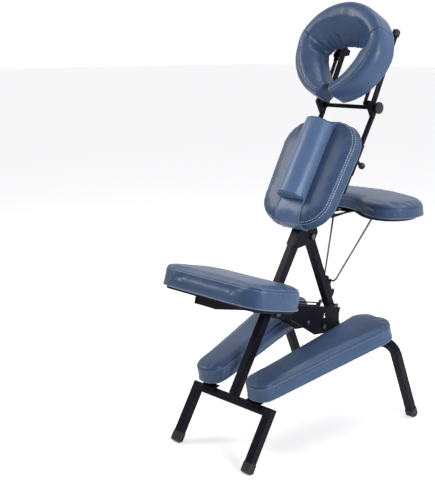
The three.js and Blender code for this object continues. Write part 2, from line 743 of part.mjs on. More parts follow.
// ---------------------------------------------------------------- head posts and cradle
function headPosts() {
  const group = frameAt(0, 0, SPINE_TILT);
  const axle = inFrame(AXLE.y, AXLE.z, 0, 0, SPINE_TILT);
  const link = linkPivot(axle);
  for (const [word, side] of SIDES) {
    const head = sidePlate([
      [POST_P - 7, axle.u - 30], [POST_P + 7, axle.u - 30], [axle.p + 12, axle.u - 8], [axle.p + 10, axle.u + 9],
      [axle.p - 4, axle.u + 12], [link.p - 7, link.u + 7], [link.p - 7, link.u - 6],
    ], side, HEAD_X, HEAD_X + 10);
    const post = roundTube(POST_R, 1.6, POST_BOTTOM, axle.u - 22);
    post.translate(side * POST_X, POST_P, 0);
    const stud = sideRod(3, side, LINK_X - 3, HEAD_X + 2, link);
    const bore = rodX(AXLE_R + GAP, -140, 140, axle.p, axle.u);
    place(group, `head_post_${word}`, cut(join([head, post, stud]), [bore]), steel());
  }
  const reach = HEAD_X + 12.4;
  place(group, 'cradle_axle', rodX(AXLE_R, -reach, reach), steel(), 0, axle.p, axle.u);
}

// Plate between the distances near and far from the middle plane, on one side of it.
function sidePlate(points, side, near, far) {
  return side > 0 ? plateX(points, near, far) : plateX(points, -far, -near);
}

function sideRod(radius, side, near, far, at) {
  return side > 0
    ? rodX(radius, near, far, at.p, at.u, 14)
    : rodX(radius, -far, -near, at.p, at.u, 14);
}

function linkPivot(axle) {
  const turn = rad(ARM_TILT - SPINE_TILT);
  return { p: axle.p - LINK_OFFSET * Math.cos(turn), u: axle.u + LINK_OFFSET * Math.sin(turn) };
}

// Arms and links share one frame: +Z runs up the arm from the axle.
function cradleArms() {
  const group = frameAt(AXLE.y, AXLE.z, ARM_TILT);
  const near = ARM_X - ARM_THICK / 2;
  const far = ARM_X + ARM_THICK / 2;
  for (const [word, side] of SIDES) {
    const arm = sidePlate(barOutline(ARM_LENGTH, 8.5), side, near, far);
    const holes = [
      rodX(AXLE_R + GAP, -140, 140),
      rodX(3 + GAP, -140, 140, 0, ARM_UPPER_PIVOT, 14),
    ];
    place(group, `cradle_arm_${word}`, cut(arm, holes), steel());
    const cap = sidePlate(capOutline(), side, near - 3, far + 3);
    const pocket = sidePlate(barOutline(ARM_LENGTH, 8.5 + GAP), side, near - GAP, far + GAP);
    place(group, `arm_cap_${word}`, cut(cap, [pocket]), knobPlastic());
    const link = sidePlate(barOutline(ARM_UPPER_PIVOT, 6), side, LINK_X - LINK_THICK / 2, LINK_X + LINK_THICK / 2);
    const linkHoles = [rodX(3 + GAP, -140, 140, 0, 0, 14), rodX(3 + GAP, -140, 140, 0, ARM_UPPER_PIVOT, 14)];
    place(group, `cradle_link_${word}`, cut(link, linkHoles), steel(), 0, -LINK_OFFSET, 0);
  }
  place(group, 'cradle_knob', cradleKnob(), knobPlastic(), HEAD_X + 12.4 + GAP);
}

function capOutline() {
  const end = ARM_LENGTH + 14;
  return [[-11, end - 20], [11, end - 20], [11, end - 4], [7, end], [-7, end], [-11, end - 4]];
}

// Flat bar with round ends centred on 0 and on length.
function barOutline(length, half) {
  const points = [];
  for (const [centre, start] of [[0, Math.PI], [length, 0]]) {
    for (let i = 0; i <= 8; i += 1) {
      const a = start + Math.PI * i / 8;
      points.push([half * Math.cos(a), centre + half * Math.sin(a)]);
    }
  }
  return points;
}

// Clamp knob on the end of the axle, turning about X.
function cradleKnob() {
  const profile = [[0, 0], [8, 0], [9, 4], [16, 5], [18, 7], [18, 13], [15.5, 15.5], [0, 16]];
  const geometry = new THREE.LatheGeometry(profile.map(([r, h]) => new THREE.Vector2(r, h)), 24);
  geometry.rotateZ(-Math.PI / 2);
  return geometry;
}

// Bracket between the arms and the ring board, one each side.
function cradleBrackets() {
  const group = frameAt(RING.y, RING.z, RING_TILT);
  const upper = upperPivot();
  const hinge = { p: RING_HINGE.fwd, u: RING_HINGE.up };
  const outline = [
    [hinge.p - 7, hinge.u - 5], [hinge.p, hinge.u - 9], [upper.arm.p + 8, upper.arm.u - 9],
    [upper.arm.p + 9, upper.arm.u + 7], [upper.link.p + 2, upper.link.u + 9], [upper.link.p - 7, upper.link.u + 5],
    [hinge.p - 7, hinge.u + 5],
  ];
  for (const [word, side] of SIDES) {
    const plate = sidePlate(outline, side, BRACKET_X - BRACKET_THICK / 2, BRACKET_X + BRACKET_THICK / 2);
    const studs = [
      sideRod(3, side, BRACKET_X, ARM_X + ARM_THICK / 2 + 2.5, upper.arm),
      sideRod(3, side, BRACKET_X, LINK_X + LINK_THICK / 2 + 0.6, upper.link),
    ];
    const bore = rodX(4 + GAP, -140, 140, hinge.p, hinge.u);
    place(group, `cradle_bracket_${word}`, cut(join([plate, ...studs]), [bore]), steel());
  }
}

function upperPivot() {
  const s = Math.sin(rad(ARM_TILT));
  const c = Math.cos(rad(ARM_TILT));
  const arm = { y: AXLE.y + s * ARM_UPPER_PIVOT, z: AXLE.z + c * ARM_UPPER_PIVOT };
  const link = { y: arm.y - c * LINK_OFFSET, z: arm.z + s * LINK_OFFSET };
  return {
    arm: inFrame(arm.y, arm.z, RING.y, RING.z, RING_TILT),
    link: inFrame(link.y, link.z, RING.y, RING.z, RING_TILT),
  };
}

// Horseshoe outline, open at the bottom. The slit is half the gap between the tips of the horns,
// and the ends of the horns draw apart below them.
const HORN_CUT = 26;

function ringShape(grow, slit) {
  const outer = [];
  const inner = [];
  for (let i = 0; i <= 24; i += 1) {
    const a = rad(-90 + 180 * i / 24);
    const high = Math.sin(a) > 0 ? RING_ABOVE : RING_BELOW;
    outer.push([(RING_HALF_WIDTH + grow) * Math.cos(a), (high + grow) * Math.sin(a)]);
  }
  for (let i = 0; i <= 18; i += 1) {
    const a = rad(90 - 180 * i / 18);
    const high = Math.sin(a) > 0 ? 62 - grow : 104 - grow;
    inner.push([(80 - grow) * Math.cos(a) * (1 + 0.2 * Math.sin(a)), high * Math.sin(a)]);
  }
  const outside = outer.filter(([x, y]) => y > 0 || x > slit + HORN_CUT + 4);
  const inside = inner.filter(([x]) => x > slit + 3);
  const right = [
    [slit, inside.at(-1)[1] - 2], [slit + HORN_CUT, outside[0][1] - 2],
    ...outside.filter(([x]) => x > 1), [0, RING_ABOVE + grow],
  ];
  const hole = [[0, 62 - grow], ...inside];
  const mirror = (list) => list.filter(([x]) => x > 0).map(([x, y]) => [-x, y]).reverse();
  const all = [...right, ...mirror(right), ...mirror(hole), ...hole];
  return new THREE.Shape(all.map(([x, y]) => new THREE.Vector2(x, y)));
}

// Slab of the horseshoe, reaching from one distance behind the middle of the ring to another.
function ringSlab(grow, slit, from, to) {
  const geometry = slab(ringShape(grow, slit), from, to, 0);
  geometry.rotateX(Math.PI / 2);
  geometry.scale(1, -1, 1);
  return toGeometry(flipped(geometry));
}

function faceCradle() {
  const group = frameAt(RING.y, RING.z, RING_TILT);
  const half = RING_THICK / 2;
  const cushion = join([ringSlab(-9, 10, -half, half), ringSlab(0, 3, -half + 16, half - 12)]);
  place(group, 'face_cushion', cushion, vinyl());
  place(group, 'face_board', ringSlab(-20, 26, half + GAP, half + GAP + RING_BOARD), plywood());
  place(group, 'face_hinge', faceHinge(half + 2 * GAP + RING_BOARD), steel());
}

// Plate behind the ring board with an ear beside each bracket and a pin through it.
function faceHinge(back) {
  const far = BRACKET_X - BRACKET_THICK / 2 - GAP;
  const near = far - 4;
  const { fwd, up } = RING_HINGE;
  const ear = [[back, up - 16], [fwd + 4, up - 7], [fwd + 7, up], [fwd + 4, up + 7], [back, up + 16]];
  const pieces = [block(-far, far, back, back + 2.5, up + 48, up + 70)];
  for (const [, side] of SIDES) {
    pieces.push(sidePlate([[back, up - 22], [back + 2.5, up - 22], [back + 2.5, up + 70], [back, up + 70]],
      side, near - 14, far));
    pieces.push(sidePlate(ear, side, near, far));
    pieces.push(sideRod(4, side, near, BRACKET_X + BRACKET_THICK / 2 - 1, { p: fwd, u: up }));
  }
  return join(pieces);
}

// ---------------------------------------------------------------- armrest
// Kidney outline in the armrest's frame, hinge at y = 0.
const ARMREST_OUTLINE = mirroredOutline([
  [0, 70], [70, 58], [120, 22], [170, 2], [228, 8], [267, 60], [264, 130], [220, 186], [150, 222], [80, 246], [0, 254],
]);

function armrest() {
  const group = frameAt(ARMREST.y, ARMREST.z, 0);
  place(group, 'armrest_board', slab(insetSpline(ARMREST_OUTLINE, 26), 2, 9, 0), plywood());
  place(group, 'armrest_cushion', slab(splineShape(ARMREST_OUTLINE), 9 + GAP, 9 + ARMREST_THICK, 8), vinyl());
  place(group, 'armrest_hinge', armrestHinge(), steel());
}

// Plate under the board with cheeks on both sides of the bracket, and two eyes for the bail.
function armrestHinge() {
  const cheek = 19 + GAP;
  const outline = [
    [-9, -4], [-4, -9], [6, -8], [60, -3], [190, -3], [190, 1.7], [-4, 1.7],
  ];
  const pieces = [
    plateX(outline, -cheek - 3, -cheek),
    plateX(outline, cheek, cheek + 3),
    block(-cheek - 3, cheek + 3, 74, 190, -0.8, 1.7),
    rodX(4, -cheek - 6, cheek + 6),
    block(-BAIL_HALF_TOP - 8, BAIL_HALF_TOP + 8, BAIL_TOP.y - 10, BAIL_TOP.y + 10, -0.8, 1.7),
  ];
  for (const [, side] of SIDES) {
    const x = side * (BAIL_HALF_TOP - 9);
    pieces.push(block(x - 2.5, x + 2.5, BAIL_TOP.y - 8, BAIL_TOP.y + 8, BAIL_TOP.z - 8, 1));
  }
  const bore = rodX(BAIL_R + GAP, -200, 200, BAIL_TOP.y, BAIL_TOP.z, 16);
  return cut(join(pieces), [bore]);
}

// Wire bail: inward hooks at the top, two legs drawing together, and the rung at the bottom.
function bail() {
  const group = frameAt(ARMREST.y + BAIL_TOP.y, ARMREST.z + BAIL_TOP.z, BAIL_TILT);
  const hook = BAIL_HALF_TOP - 15;
  const right = [
    [hook, 0], [BAIL_HALF_TOP - 3, 0], [BAIL_HALF_TOP, -4], [24, -BAIL_LENGTH + 8], [18, -BAIL_LENGTH],
  ];
  const points = [...right, ...right.map(([x, z]) => [-x, z]).reverse()];
  const path = new THREE.CurvePath();
  for (let i = 1; i < points.length; i += 1) {
    const [a, b] = [points[i - 1], points[i]];
    path.add(new THREE.LineCurve3(new THREE.Vector3(a[0], 0, a[1]), new THREE.Vector3(b[0], 0, b[1])));
  }
  const pieces = [];
  for (const curve of path.curves) pieces.push(wire(curve.v1, curve.v2));
  place(group, 'prop_bail', join(pieces), zinc());
}

// Straight length of wire, running a little past both of its bends.
function wire(a, b) {
  const length = a.distanceTo(b) + BAIL_R;
  const geometry = new THREE.CylinderGeometry(BAIL_R, BAIL_R, length, 12);
  geometry.applyQuaternion(new THREE.Quaternion().setFromUnitVectors(
    new THREE.Vector3(0, 1, 0), b.clone().sub(a).normalize()));
  geometry.translate((a.x + b.x) / 2, (a.y + b.y) / 2, (a.z + b.z) / 2);
  return geometry;
}

rearFrame();
frontFrame();
kneePads();
seat();
chestPad();
headPosts();
cradleArms();
cradleBrackets();
faceCradle();
armrest();
bail();

chair.updateMatrixWorld(true);
const bounds = new THREE.Box3().setFromObject(chair, true);
chair.position.y = -(bounds.min.y + bounds.max.y) / 2;

export default chair;
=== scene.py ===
"""Looks of the folding massage chair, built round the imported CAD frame."""
import json
import math

import bmesh
import bpy
import numpy as np
from mathutils import Matrix, Vector
from mathutils.bvhtree import BVHTree
from mathutils.kdtree import KDTree


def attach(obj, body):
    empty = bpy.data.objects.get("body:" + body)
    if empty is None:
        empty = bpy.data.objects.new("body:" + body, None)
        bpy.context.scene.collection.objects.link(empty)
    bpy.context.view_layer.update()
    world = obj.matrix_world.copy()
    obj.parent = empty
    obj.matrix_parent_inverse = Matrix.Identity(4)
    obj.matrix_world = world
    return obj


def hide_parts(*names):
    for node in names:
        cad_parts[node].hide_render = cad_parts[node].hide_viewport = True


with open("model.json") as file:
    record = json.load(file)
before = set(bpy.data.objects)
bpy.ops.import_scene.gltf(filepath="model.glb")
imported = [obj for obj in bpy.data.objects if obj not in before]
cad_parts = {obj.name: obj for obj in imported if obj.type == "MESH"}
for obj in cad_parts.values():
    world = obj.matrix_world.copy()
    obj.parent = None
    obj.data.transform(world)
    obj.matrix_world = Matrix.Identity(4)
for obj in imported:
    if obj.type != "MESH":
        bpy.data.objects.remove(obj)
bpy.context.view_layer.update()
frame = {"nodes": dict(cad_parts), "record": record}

RECORD = frame["record"]
JOINTS = {j["name"]: j for j in RECORD["behaviour"]["joints"]}
MOUNTS = {m["name"]: m for m in RECORD["mounts"]}
MM = 0.001

# ------------------------------------------------------------------ frames of the sub-assemblies
SPINE_TILT = 31.3
FRONT_TILT = 23.3
SEAT_TILT = 12.97
KNEE_TILT = 13.5
RING_TILT = 23.0
REAR_FOOT_AHEAD = 9.0      # how far a foot's flat lies in front of its leg's axis
FRONT_FOOT_AHEAD = -6.5
FRONT_BAR = 284.0          # crossbar above the front feet, along the front tube
RING_HINGE = (62.0, 20.0)  # ring hinge behind and above the middle of the ring


class Frame:
    """A frame that leans forward by lean degrees. Its points are in millimetres, the result in metres."""

    def __init__(self, origin, lean):
        self.matrix = Matrix.Translation(Vector(origin)) @ Matrix.Rotation(-math.radians(lean), 4, "X")

    def point(self, x, y, z):
        return self.matrix @ Vector((x * MM, y * MM, z * MM))

    def array(self, points):
        rotation = np.array(self.matrix.to_3x3())
        return np.asarray(points) * MM @ rotation.T + np.array(self.matrix.translation)

    def direction(self, x, y, z):
        return (self.matrix.to_3x3() @ Vector((x, y, z))).normalized()


def leg_axis(name, ahead):
    """Where a leg's axis meets the floor. ahead is how far the foot's flat lies in front of it."""
    y = MOUNTS[name]["pos_m"][1]
    return Vector((0, y - ahead * MM, 0))


def joint_at(name):
    _, y, z = JOINTS[name]["pos_m"]
    return Vector((0, y, z))


SPINE = Frame(leg_axis("foot_rear_left", REAR_FOOT_AHEAD), SPINE_TILT)
FRONT = Frame(leg_axis("foot_front_left", FRONT_FOOT_AHEAD), -FRONT_TILT)
SEAT = Frame(joint_at("seat_swing"), SEAT_TILT)
KNEE = Frame(FRONT.point(0, 0, FRONT_BAR), -KNEE_TILT)
ARMREST = Frame(joint_at("armrest_fold"), 0.0)
RING = Frame((0, 0, 0), RING_TILT)
RING.matrix.translation = joint_at("face_tilt") - RING.point(0, *RING_HINGE)


# ------------------------------------------------------------------ materials
class Nodes:
    """A material's node tree with one Principled shader."""

    def __init__(self, name):
        self.material = bpy.data.materials.new(name)
        self.material.use_nodes = True
        self.tree = self.material.node_tree
        self.shader = self.tree.nodes["Principled BSDF"]
        self.coords = self.add("ShaderNodeTexCoord").outputs["Object"]

    def add(self, kind, **settings):
        node = self.tree.nodes.new(kind)
        for key, value in settings.items():
            setattr(node, key, value)
        return node

    def link(self, a, b):
        self.tree.links.new(a, b)

    def noise(self, scale, detail=4.0, roughness=0.55, distortion=0.0):
        node = self.add("ShaderNodeTexNoise")
        self.link(self.coords, node.inputs["Vector"])
        node.inputs["Scale"].default_value = scale
        node.inputs["Detail"].default_value = detail
        node.inputs["Roughness"].default_value = roughness
        node.inputs["Distortion"].default_value = distortion
        return node.outputs["Fac"]

    def voronoi(self, scale, feature="F1"):
        node = self.add("ShaderNodeTexVoronoi", feature=feature)
        self.link(self.coords, node.inputs["Vector"])
        node.inputs["Scale"].default_value = scale
        return node.outputs["Distance"]

    def ramp(self, value, stops):
        node = self.add("ShaderNodeValToRGB")
        elements = node.color_ramp.elements
        while len(elements) < len(stops):
            elements.new(0.5)
        for element, (position, colour) in zip(elements, stops):
            element.position = position
            element.color = (*colour, 1.0)
        self.link(value, node.inputs["Fac"])
        return node.outputs["Color"]

    def spread(self, value, low, high, from_low=0.0, from_high=1.0):
        node = self.add("ShaderNodeMapRange")
        self.link(value, node.inputs["Value"])
        node.inputs["From Min"].default_value = from_low
        node.inputs["From Max"].default_value = from_high
        node.inputs["To Min"].default_value = low
        node.inputs["To Max"].default_value = high
        return node.outputs["Result"]

    def mix(self, factor, a, b):
        node = self.add("ShaderNodeMix", data_type="RGBA")
        for socket, value in ((node.inputs[0], factor), (node.inputs[6], a), (node.inputs[7], b)):
            if isinstance(value, (int, float)):
                socket.default_value = value
            elif isinstance(value, tuple):
                socket.default_value = (*value, 1.0)
            else:
                self.link(value, socket)
        return node.outputs[2]

    def maths(self, operation, a, b):
        node = self.add("ShaderNodeMath", operation=operation)
        for socket, value in zip(node.inputs, (a, b)):
            if isinstance(value, (int, float)):
                socket.default_value = value
            else:
                self.link(value, socket)
        return node.outputs[0]

    def bump(self, layers):
        """Layers of (height, strength, distance), coarse first."""
        normal = None
        for height, strength, distance in layers:
            node = self.add("ShaderNodeBump")
            self.link(height, node.inputs["Height"])
            node.inputs["Strength"].default_value = strength
            node.inputs["Distance"].default_value = distance
            if normal is not None:
                self.link(normal, node.inputs["Normal"])
            normal = node.outputs["Normal"]
        self.link(normal, self.shader.inputs["Normal"])

    def edges(self, low, high):
        """1 on convex edges, 0 elsewhere."""
        geometry = self.add("ShaderNodeNewGeometry")
        return self.spread(geometry.outputs["Pointiness"], 0.0, 1.0, low, high)

    def set(self, **values):
        for key, value in values.items():
            self.shader.inputs[key.replace("_", " ")].default_value = value


def vinyl_material(name, base, deep, light, shine=0.0):
    n = Nodes(name)
    broad = n.noise(7.0, 3.0, 0.5)
    fine = n.noise(60.0, 5.0, 0.6)
    tone = n.ramp(broad, [(0.3, deep), (0.52, base), (0.75, light)])
    tone = n.mix(n.spread(fine, 0.0, 0.35), tone, deep)
    tone = n.mix(n.maths("MULTIPLY", n.edges(0.505, 0.56), 0.35), tone, light)
    n.link(tone, n.shader.inputs["Base Color"])
    cells = n.voronoi(900.0, "DISTANCE_TO_EDGE")
    grain = n.spread(cells, 0.0, 1.0, 0.0, 0.12)
    pores = n.noise(1400.0, 3.0, 0.6)
    soft = n.noise(16.0, 3.0, 0.5, 0.4)
    n.bump([(soft, 0.18, 0.006), (grain, 0.10, 0.0004), (pores, 0.08, 0.0003)])
    rough = n.maths("ADD", n.spread(fine, -0.04, 0.05), n.spread(broad, 0.38 - shine, 0.46 - shine))
    n.link(rough, n.shader.inputs["Roughness"])
    n.set(Specular_IOR_Level=0.27, Coat_Weight=0.08, Coat_Roughness=0.18)
    return n.material


def powder_coat(name, base, light):
    n = Nodes(name)
    peel = n.noise(520.0, 4.0, 0.6)
    broad = n.noise(9.0, 3.0, 0.5)
    tone = n.ramp(broad, [(0.3, base), (0.7, light)])
    patches = n.spread(n.noise(90.0, 4.0, 0.7), 0.0, 1.0, 0.45, 0.75)
    wear = n.maths("MULTIPLY", n.edges(0.52, 0.62), patches)
    tone = n.mix(n.maths("MULTIPLY", wear, 0.35), tone, (0.022, 0.022, 0.028))
    n.link(tone, n.shader.inputs["Base Color"])
    n.link(n.spread(peel, 0.34, 0.5, 0.3, 0.7), n.shader.inputs["Roughness"])
    n.bump([(broad, 0.05, 0.002), (peel, 0.14, 0.0006)])
    n.set(Specular_IOR_Level=0.08, Coat_Weight=0.01, Coat_Roughness=0.3)
    return n.material


def moulded(name, base, light, rough, grain):
    n = Nodes(name)
    speckle = n.noise(grain, 4.0, 0.65)
    broad = n.noise(14.0, 3.0, 0.5)
    tone = n.ramp(broad, [(0.3, base), (0.75, light)])
    tone = n.mix(n.maths("MULTIPLY", n.edges(0.52, 0.6), 0.4), tone, light)
    n.link(tone, n.shader.inputs["Base Color"])
    n.link(n.spread(speckle, rough - 0.07, rough + 0.08, 0.3, 0.7), n.shader.inputs["Roughness"])
    n.bump([(speckle, 0.2, 0.0005)])
    n.set(Specular_IOR_Level=0.4)
    return n.material


def zinc_plate(name):
    n = Nodes(name)
    cloud = n.noise(45.0, 4.0, 0.6)
    fine = n.noise(700.0, 3.0, 0.6)
    tone = n.ramp(cloud, [(0.3, (0.06, 0.06, 0.068)), (0.7, (0.15, 0.15, 0.16))])
    n.link(tone, n.shader.inputs["Base Color"])
    n.link(n.spread(cloud, 0.28, 0.45, 0.3, 0.7), n.shader.inputs["Roughness"])
    n.bump([(fine, 0.08, 0.0003)])
    n.set(Metallic=0.9)
    return n.material


def backing_board(name):
    n = Nodes(name)
    weave_a = n.add("ShaderNodeTexWave", wave_type="BANDS", bands_direction="X")
    weave_b = n.add("ShaderNodeTexWave", wave_type="BANDS", bands_direction="Y")
    for wave in (weave_a, weave_b):
        n.link(n.coords, wave.inputs["Vector"])
        wave.inputs["Scale"].default_value = 260.0
        wave.inputs["Distortion"].default_value = 1.5
    weave = n.maths("MULTIPLY", weave_a.outputs["Fac"], weave_b.outputs["Fac"])
    broad = n.noise(22.0, 4.0, 0.6)
    tone = n.ramp(broad, [(0.3, (0.008, 0.008, 0.010)), (0.7, (0.022, 0.022, 0.025))])
    n.link(tone, n.shader.inputs["Base Color"])
    n.link(n.spread(broad, 0.75, 0.92), n.shader.inputs["Roughness"])
    n.bump([(weave, 0.35, 0.0006)])
    n.set(Specular_IOR_Level=0.25)
    return n.material


def thread_material(name, colour, light):
    n = Nodes(name)
    twist = n.add("ShaderNodeTexWave", wave_type="BANDS", bands_direction="DIAGONAL")
    n.link(n.coords, twist.inputs["Vector"])
    twist.inputs["Scale"].default_value = 900.0
    tone = n.ramp(twist.outputs["Fac"], [(0.2, colour), (0.8, light)])
    n.link(tone, n.shader.inputs["Base Color"])
    n.link(n.spread(n.noise(300.0), 0.55, 0.75), n.shader.inputs["Roughness"])
    n.bump([(twist.outputs["Fac"], 0.3, 0.0003)])
    return n.material


BLUE = (0.038, 0.072, 0.150)
BLUE_DEEP = (0.028, 0.055, 0.118)
BLUE_LIGHT = (0.050, 0.090, 0.180)
VINYL = vinyl_material("slate_vinyl", BLUE, BLUE_DEEP, BLUE_LIGHT)
LIT_STRAP_VINYL = vinyl_material(  # lighter copy of the vinyl: painted light for the bright band on the bolster roll and its strap; also shinier
    "painted_light_strap_vinyl", (0.076, 0.129, 0.246), (0.060, 0.106, 0.206), (0.094, 0.154, 0.286), 0.04)
# The piping vinyl is lighter than the pad vinyl: painted highlight for the light the cords and the strap's
# edge bindings catch; it is also glossier.
PIPING = vinyl_material(
    "piping_vinyl", (0.085, 0.125, 0.215), (0.06, 0.09, 0.165), (0.14, 0.19, 0.30), 0.08)
SEAM = vinyl_material(
    "seam_shadow_vinyl", (0.016, 0.024, 0.05), (0.010, 0.016, 0.034), (0.03, 0.045, 0.085))
# One thread in two brightnesses: the bright copy on the chest and the dim copy on the other pads are
# painted light and painted shade.
THREAD = thread_material("stitch_thread", (0.30, 0.36, 0.48), (0.60, 0.68, 0.80))
THREAD_DIM = thread_material("stitch_thread_dim", (0.09, 0.13, 0.22), (0.20, 0.26, 0.38))
STEEL = powder_coat("black_powder_coat", (0.003, 0.003, 0.007), (0.006, 0.006, 0.012))
PLASTIC = moulded("moulded_plastic", (0.005, 0.005, 0.007), (0.014, 0.014, 0.018), 0.36, 600.0)
RUBBER = moulded("foot_rubber", (0.006, 0.006, 0.008), (0.012, 0.012, 0.014), 0.6, 380.0)
ZINC = zinc_plate("zinc_plate")
BOARD = backing_board("board_backing")
LOOKS = {"steel": STEEL, "plastic": PLASTIC, "rubber": RUBBER, "zinc": ZINC, "plywood": BOARD,
         "vinyl": VINYL}


def dress_cad():
    """Materials on every CAD node, and a softened edge on the hard ones."""
    for part in RECORD["subparts"]:
        node = frame["nodes"][part["node"]]
        node.data.materials.clear()
        node.data.materials.append(LOOKS[part["material_slot"]])
        if part["material_slot"] in ("steel", "plastic", "plywood"):
            bevel = node.modifiers.new("softened", "BEVEL")
            bevel.width = 0.5 * MM
            bevel.segments = 2
            bevel.limit_method = "ANGLE"
            bevel.angle_limit = math.radians(50)


# ------------------------------------------------------------------ outlines, in millimetres
def rounded(corners, steps=10):
    """Closed outline through arcs of (x, y, radius, start, end) in degrees."""
    points = []
    for x, y, r, start, end in corners:
        for i in range(steps + 1):
            a = math.radians(start + (end - start) * i / steps)
            points.append((x + r * math.cos(a), y + r * math.sin(a)))
    return np.array(points)


def seat_outline():
    half, rear, front, rear_r, front_r = 207.0, -268.0, -48.0, 52.0, 86.0
    return rounded([
        (half - rear_r, rear + rear_r, rear_r, -90, 0),
        (half - front_r, front - front_r, front_r, 0, 90),
        (-half + front_r, front - front_r, front_r, 90, 180),
        (-half + rear_r, rear + rear_r, rear_r, 180, 270),
    ])


def knee_outline():
    """The right pad, which widens and runs outwards towards the front."""
    rear, front, rear_r, front_r = -485.0, 18.0, 48, 58

    def inner(y):
        return 50.0 + (y - rear) * 0.0755

    def outer(y):
        return 156.0 + (y - rear) * 0.177

    return rounded([
        (outer(rear) - rear_r, rear + rear_r, rear_r, -90, -10),
        (outer(front) - front_r, front - front_r, front_r, -10, 90),
        (inner(front) + front_r, front - front_r, front_r, 90, 178),
        (inner(rear) + rear_r, rear + rear_r, rear_r, 178, 270),
    ])


CHEST_BOTTOM, CHEST_TOP = 706.0, 1052.0  # along the spine


def chest_outline():
    wide, narrow, bottom_r, top_r = 143.0, 135.0, 88, 92
    low, high = CHEST_BOTTOM + bottom_r, CHEST_TOP - top_r
    return rounded([
        (narrow - bottom_r, low, bottom_r, -90, -4), (wide - top_r, high, top_r, -4, 90),
        (-wide + top_r, high, top_r, 90, 184), (-narrow + bottom_r, low, bottom_r, 184, 270),
    ])


def smooth_closed(points, per=10):
    """Centripetal Catmull-Rom curve through closed points."""
    pts = [np.array(p, float) for p in points]
    count = len(pts)
    out = []
    for i in range(count):
        p0, p1, p2, p3 = (pts[(i + k) % count] for k in (-1, 0, 1, 2))
        t1 = np.linalg.norm(p1 - p0) ** 0.5
        t2 = t1 + np.linalg.norm(p2 - p1) ** 0.5
        t3 = t2 + np.linalg.norm(p3 - p2) ** 0.5
        for k in range(per):
            t = t1 + (t2 - t1) * k / per
            a1 = (t1 - t) / t1 * p0 + t / t1 * p1
            a2 = (t2 - t) / (t2 - t1) * p1 + (t - t1) / (t2 - t1) * p2
            a3 = (t3 - t) / (t3 - t2) * p2 + (t - t2) / (t3 - t2) * p3
            b1 = (t2 - t) / t2 * a1 + t / t2 * a2
            b2 = (t3 - t) / (t3 - t1) * a2 + (t - t1) / (t3 - t1) * a3
            out.append((t2 - t) / (t2 - t1) * b1 + (t - t1) / (t2 - t1) * b2)
    return np.array(out)


def armrest_outline():
    """A bow with its hollow side towards the client."""
    right = [(0, 70), (70, 58), (120, 22), (170, 2), (228, 8), (267, 60),
             (264, 130), (220, 186), (150, 222), (80, 246), (0, 254)]
    left = [(-x, y) for x, y in reversed(right) if x > 0]
    return smooth_closed(right + left)


def resample(points, step):
    """Closed outline with evenly spaced points."""
    closed = np.vstack([points, points[:1]])
    lengths = np.r_[0, np.cumsum(np.linalg.norm(np.diff(closed, axis=0), axis=1))]
    count = max(int(round(lengths[-1] / step)), 8)
    at = np.linspace(0, lengths[-1], count, endpoint=False)
    return np.stack([np.interp(at, lengths, closed[:, k]) for k in range(closed.shape[1])], axis=1)


def offset(points, distance):
    """Moves a closed anticlockwise outline inwards, smoothly."""
    ahead = np.roll(points, -1, axis=0) - np.roll(points, 1, axis=0)
    normal = np.stack([-ahead[:, 1], ahead[:, 0]], axis=1)
    normal /= np.linalg.norm(normal, axis=1, keepdims=True)
    for _ in range(4):
        normal = (np.roll(normal, 1, axis=0) + 2 * normal + np.roll(normal, -1, axis=0)) / 4
    return points + normal * distance


def edge_distance(xy, outline):
    """Distance of each point from a closed outline."""
    a = outline
    b = np.roll(outline, -1, axis=0)
    best = np.full(len(xy), 1e9)
    for start in range(0, len(a), 40):
        sa, sb = a[start:start + 40], b[start:start + 40]
        d = sb - sa
        rel = xy[:, None, :] - sa[None]
        t = np.clip((rel * d).sum(2) / (d * d).sum(1), 0, 1)
        near = rel - t[..., None] * d
        best = np.minimum(best, np.sqrt((near ** 2).sum(2)).min(1))
    return best


# ------------------------------------------------------------------ meshes
def new_object(name, mesh):
    obj = bpy.data.objects.new(name, mesh)
    bpy.context.scene.collection.objects.link(obj)
    return obj


def stacked(name, rings):
    """Closed mesh through rings of equal length, in metres, capped at both ends."""
    count = len(rings[0])
    vertices = [tuple(p) for ring in rings for p in ring]
    faces = []
    for k in range(len(rings) - 1):
        for i in range(count):
            j = (i + 1) % count
            faces.append((k * count + i, k * count + j, (k + 1) * count + j, (k + 1) * count + i))
    faces.append(tuple(reversed(range(count))))
    last = (len(rings) - 1) * count
    faces.append(tuple(last + i for i in range(count)))
    mesh = bpy.data.meshes.new(name)
    mesh.from_pydata(vertices, [], faces)
    mesh.update()
    return new_object(name, mesh)


def smooth_shade(obj):
    obj.data.polygons.foreach_set("use_smooth", [True] * len(obj.data.polygons))
    obj.data.update()


def cover(obj, material):
    obj.data.materials.clear()
    obj.data.materials.append(material)
    smooth_shade(obj)


def bake_modifiers(obj):
    graph = bpy.context.evaluated_depsgraph_get()
    mesh = bpy.data.meshes.new_from_object(obj.evaluated_get(graph))
    old = obj.data
    obj.modifiers.clear()
    obj.data = mesh
    bpy.data.meshes.remove(old)


def voxel_remesh(obj, size):
    modifier = obj.modifiers.new("remesh", "REMESH")
    modifier.mode = "VOXEL"
    modifier.voxel_size = size
    modifier.adaptivity = 0.0
    bake_modifiers(obj)


def coordinates(obj):
    out = np.empty(len(obj.data.vertices) * 3)
    obj.data.vertices.foreach_get("co", out)
    return out.reshape(-1, 3)


def set_coordinates(obj, values):
    obj.data.vertices.foreach_set("co", np.asarray(values, float).ravel())
    obj.data.update()


def normals(obj):
    out = np.empty(len(obj.data.vertices) * 3)
    obj.data.vertices.foreach_get("normal", out)
    return out.reshape(-1, 3)


def relax(obj, times, factor=0.5):
    modifier = obj.modifiers.new("smooth", "SMOOTH")
    modifier.iterations = times
    modifier.factor = factor
    bake_modifiers(obj)


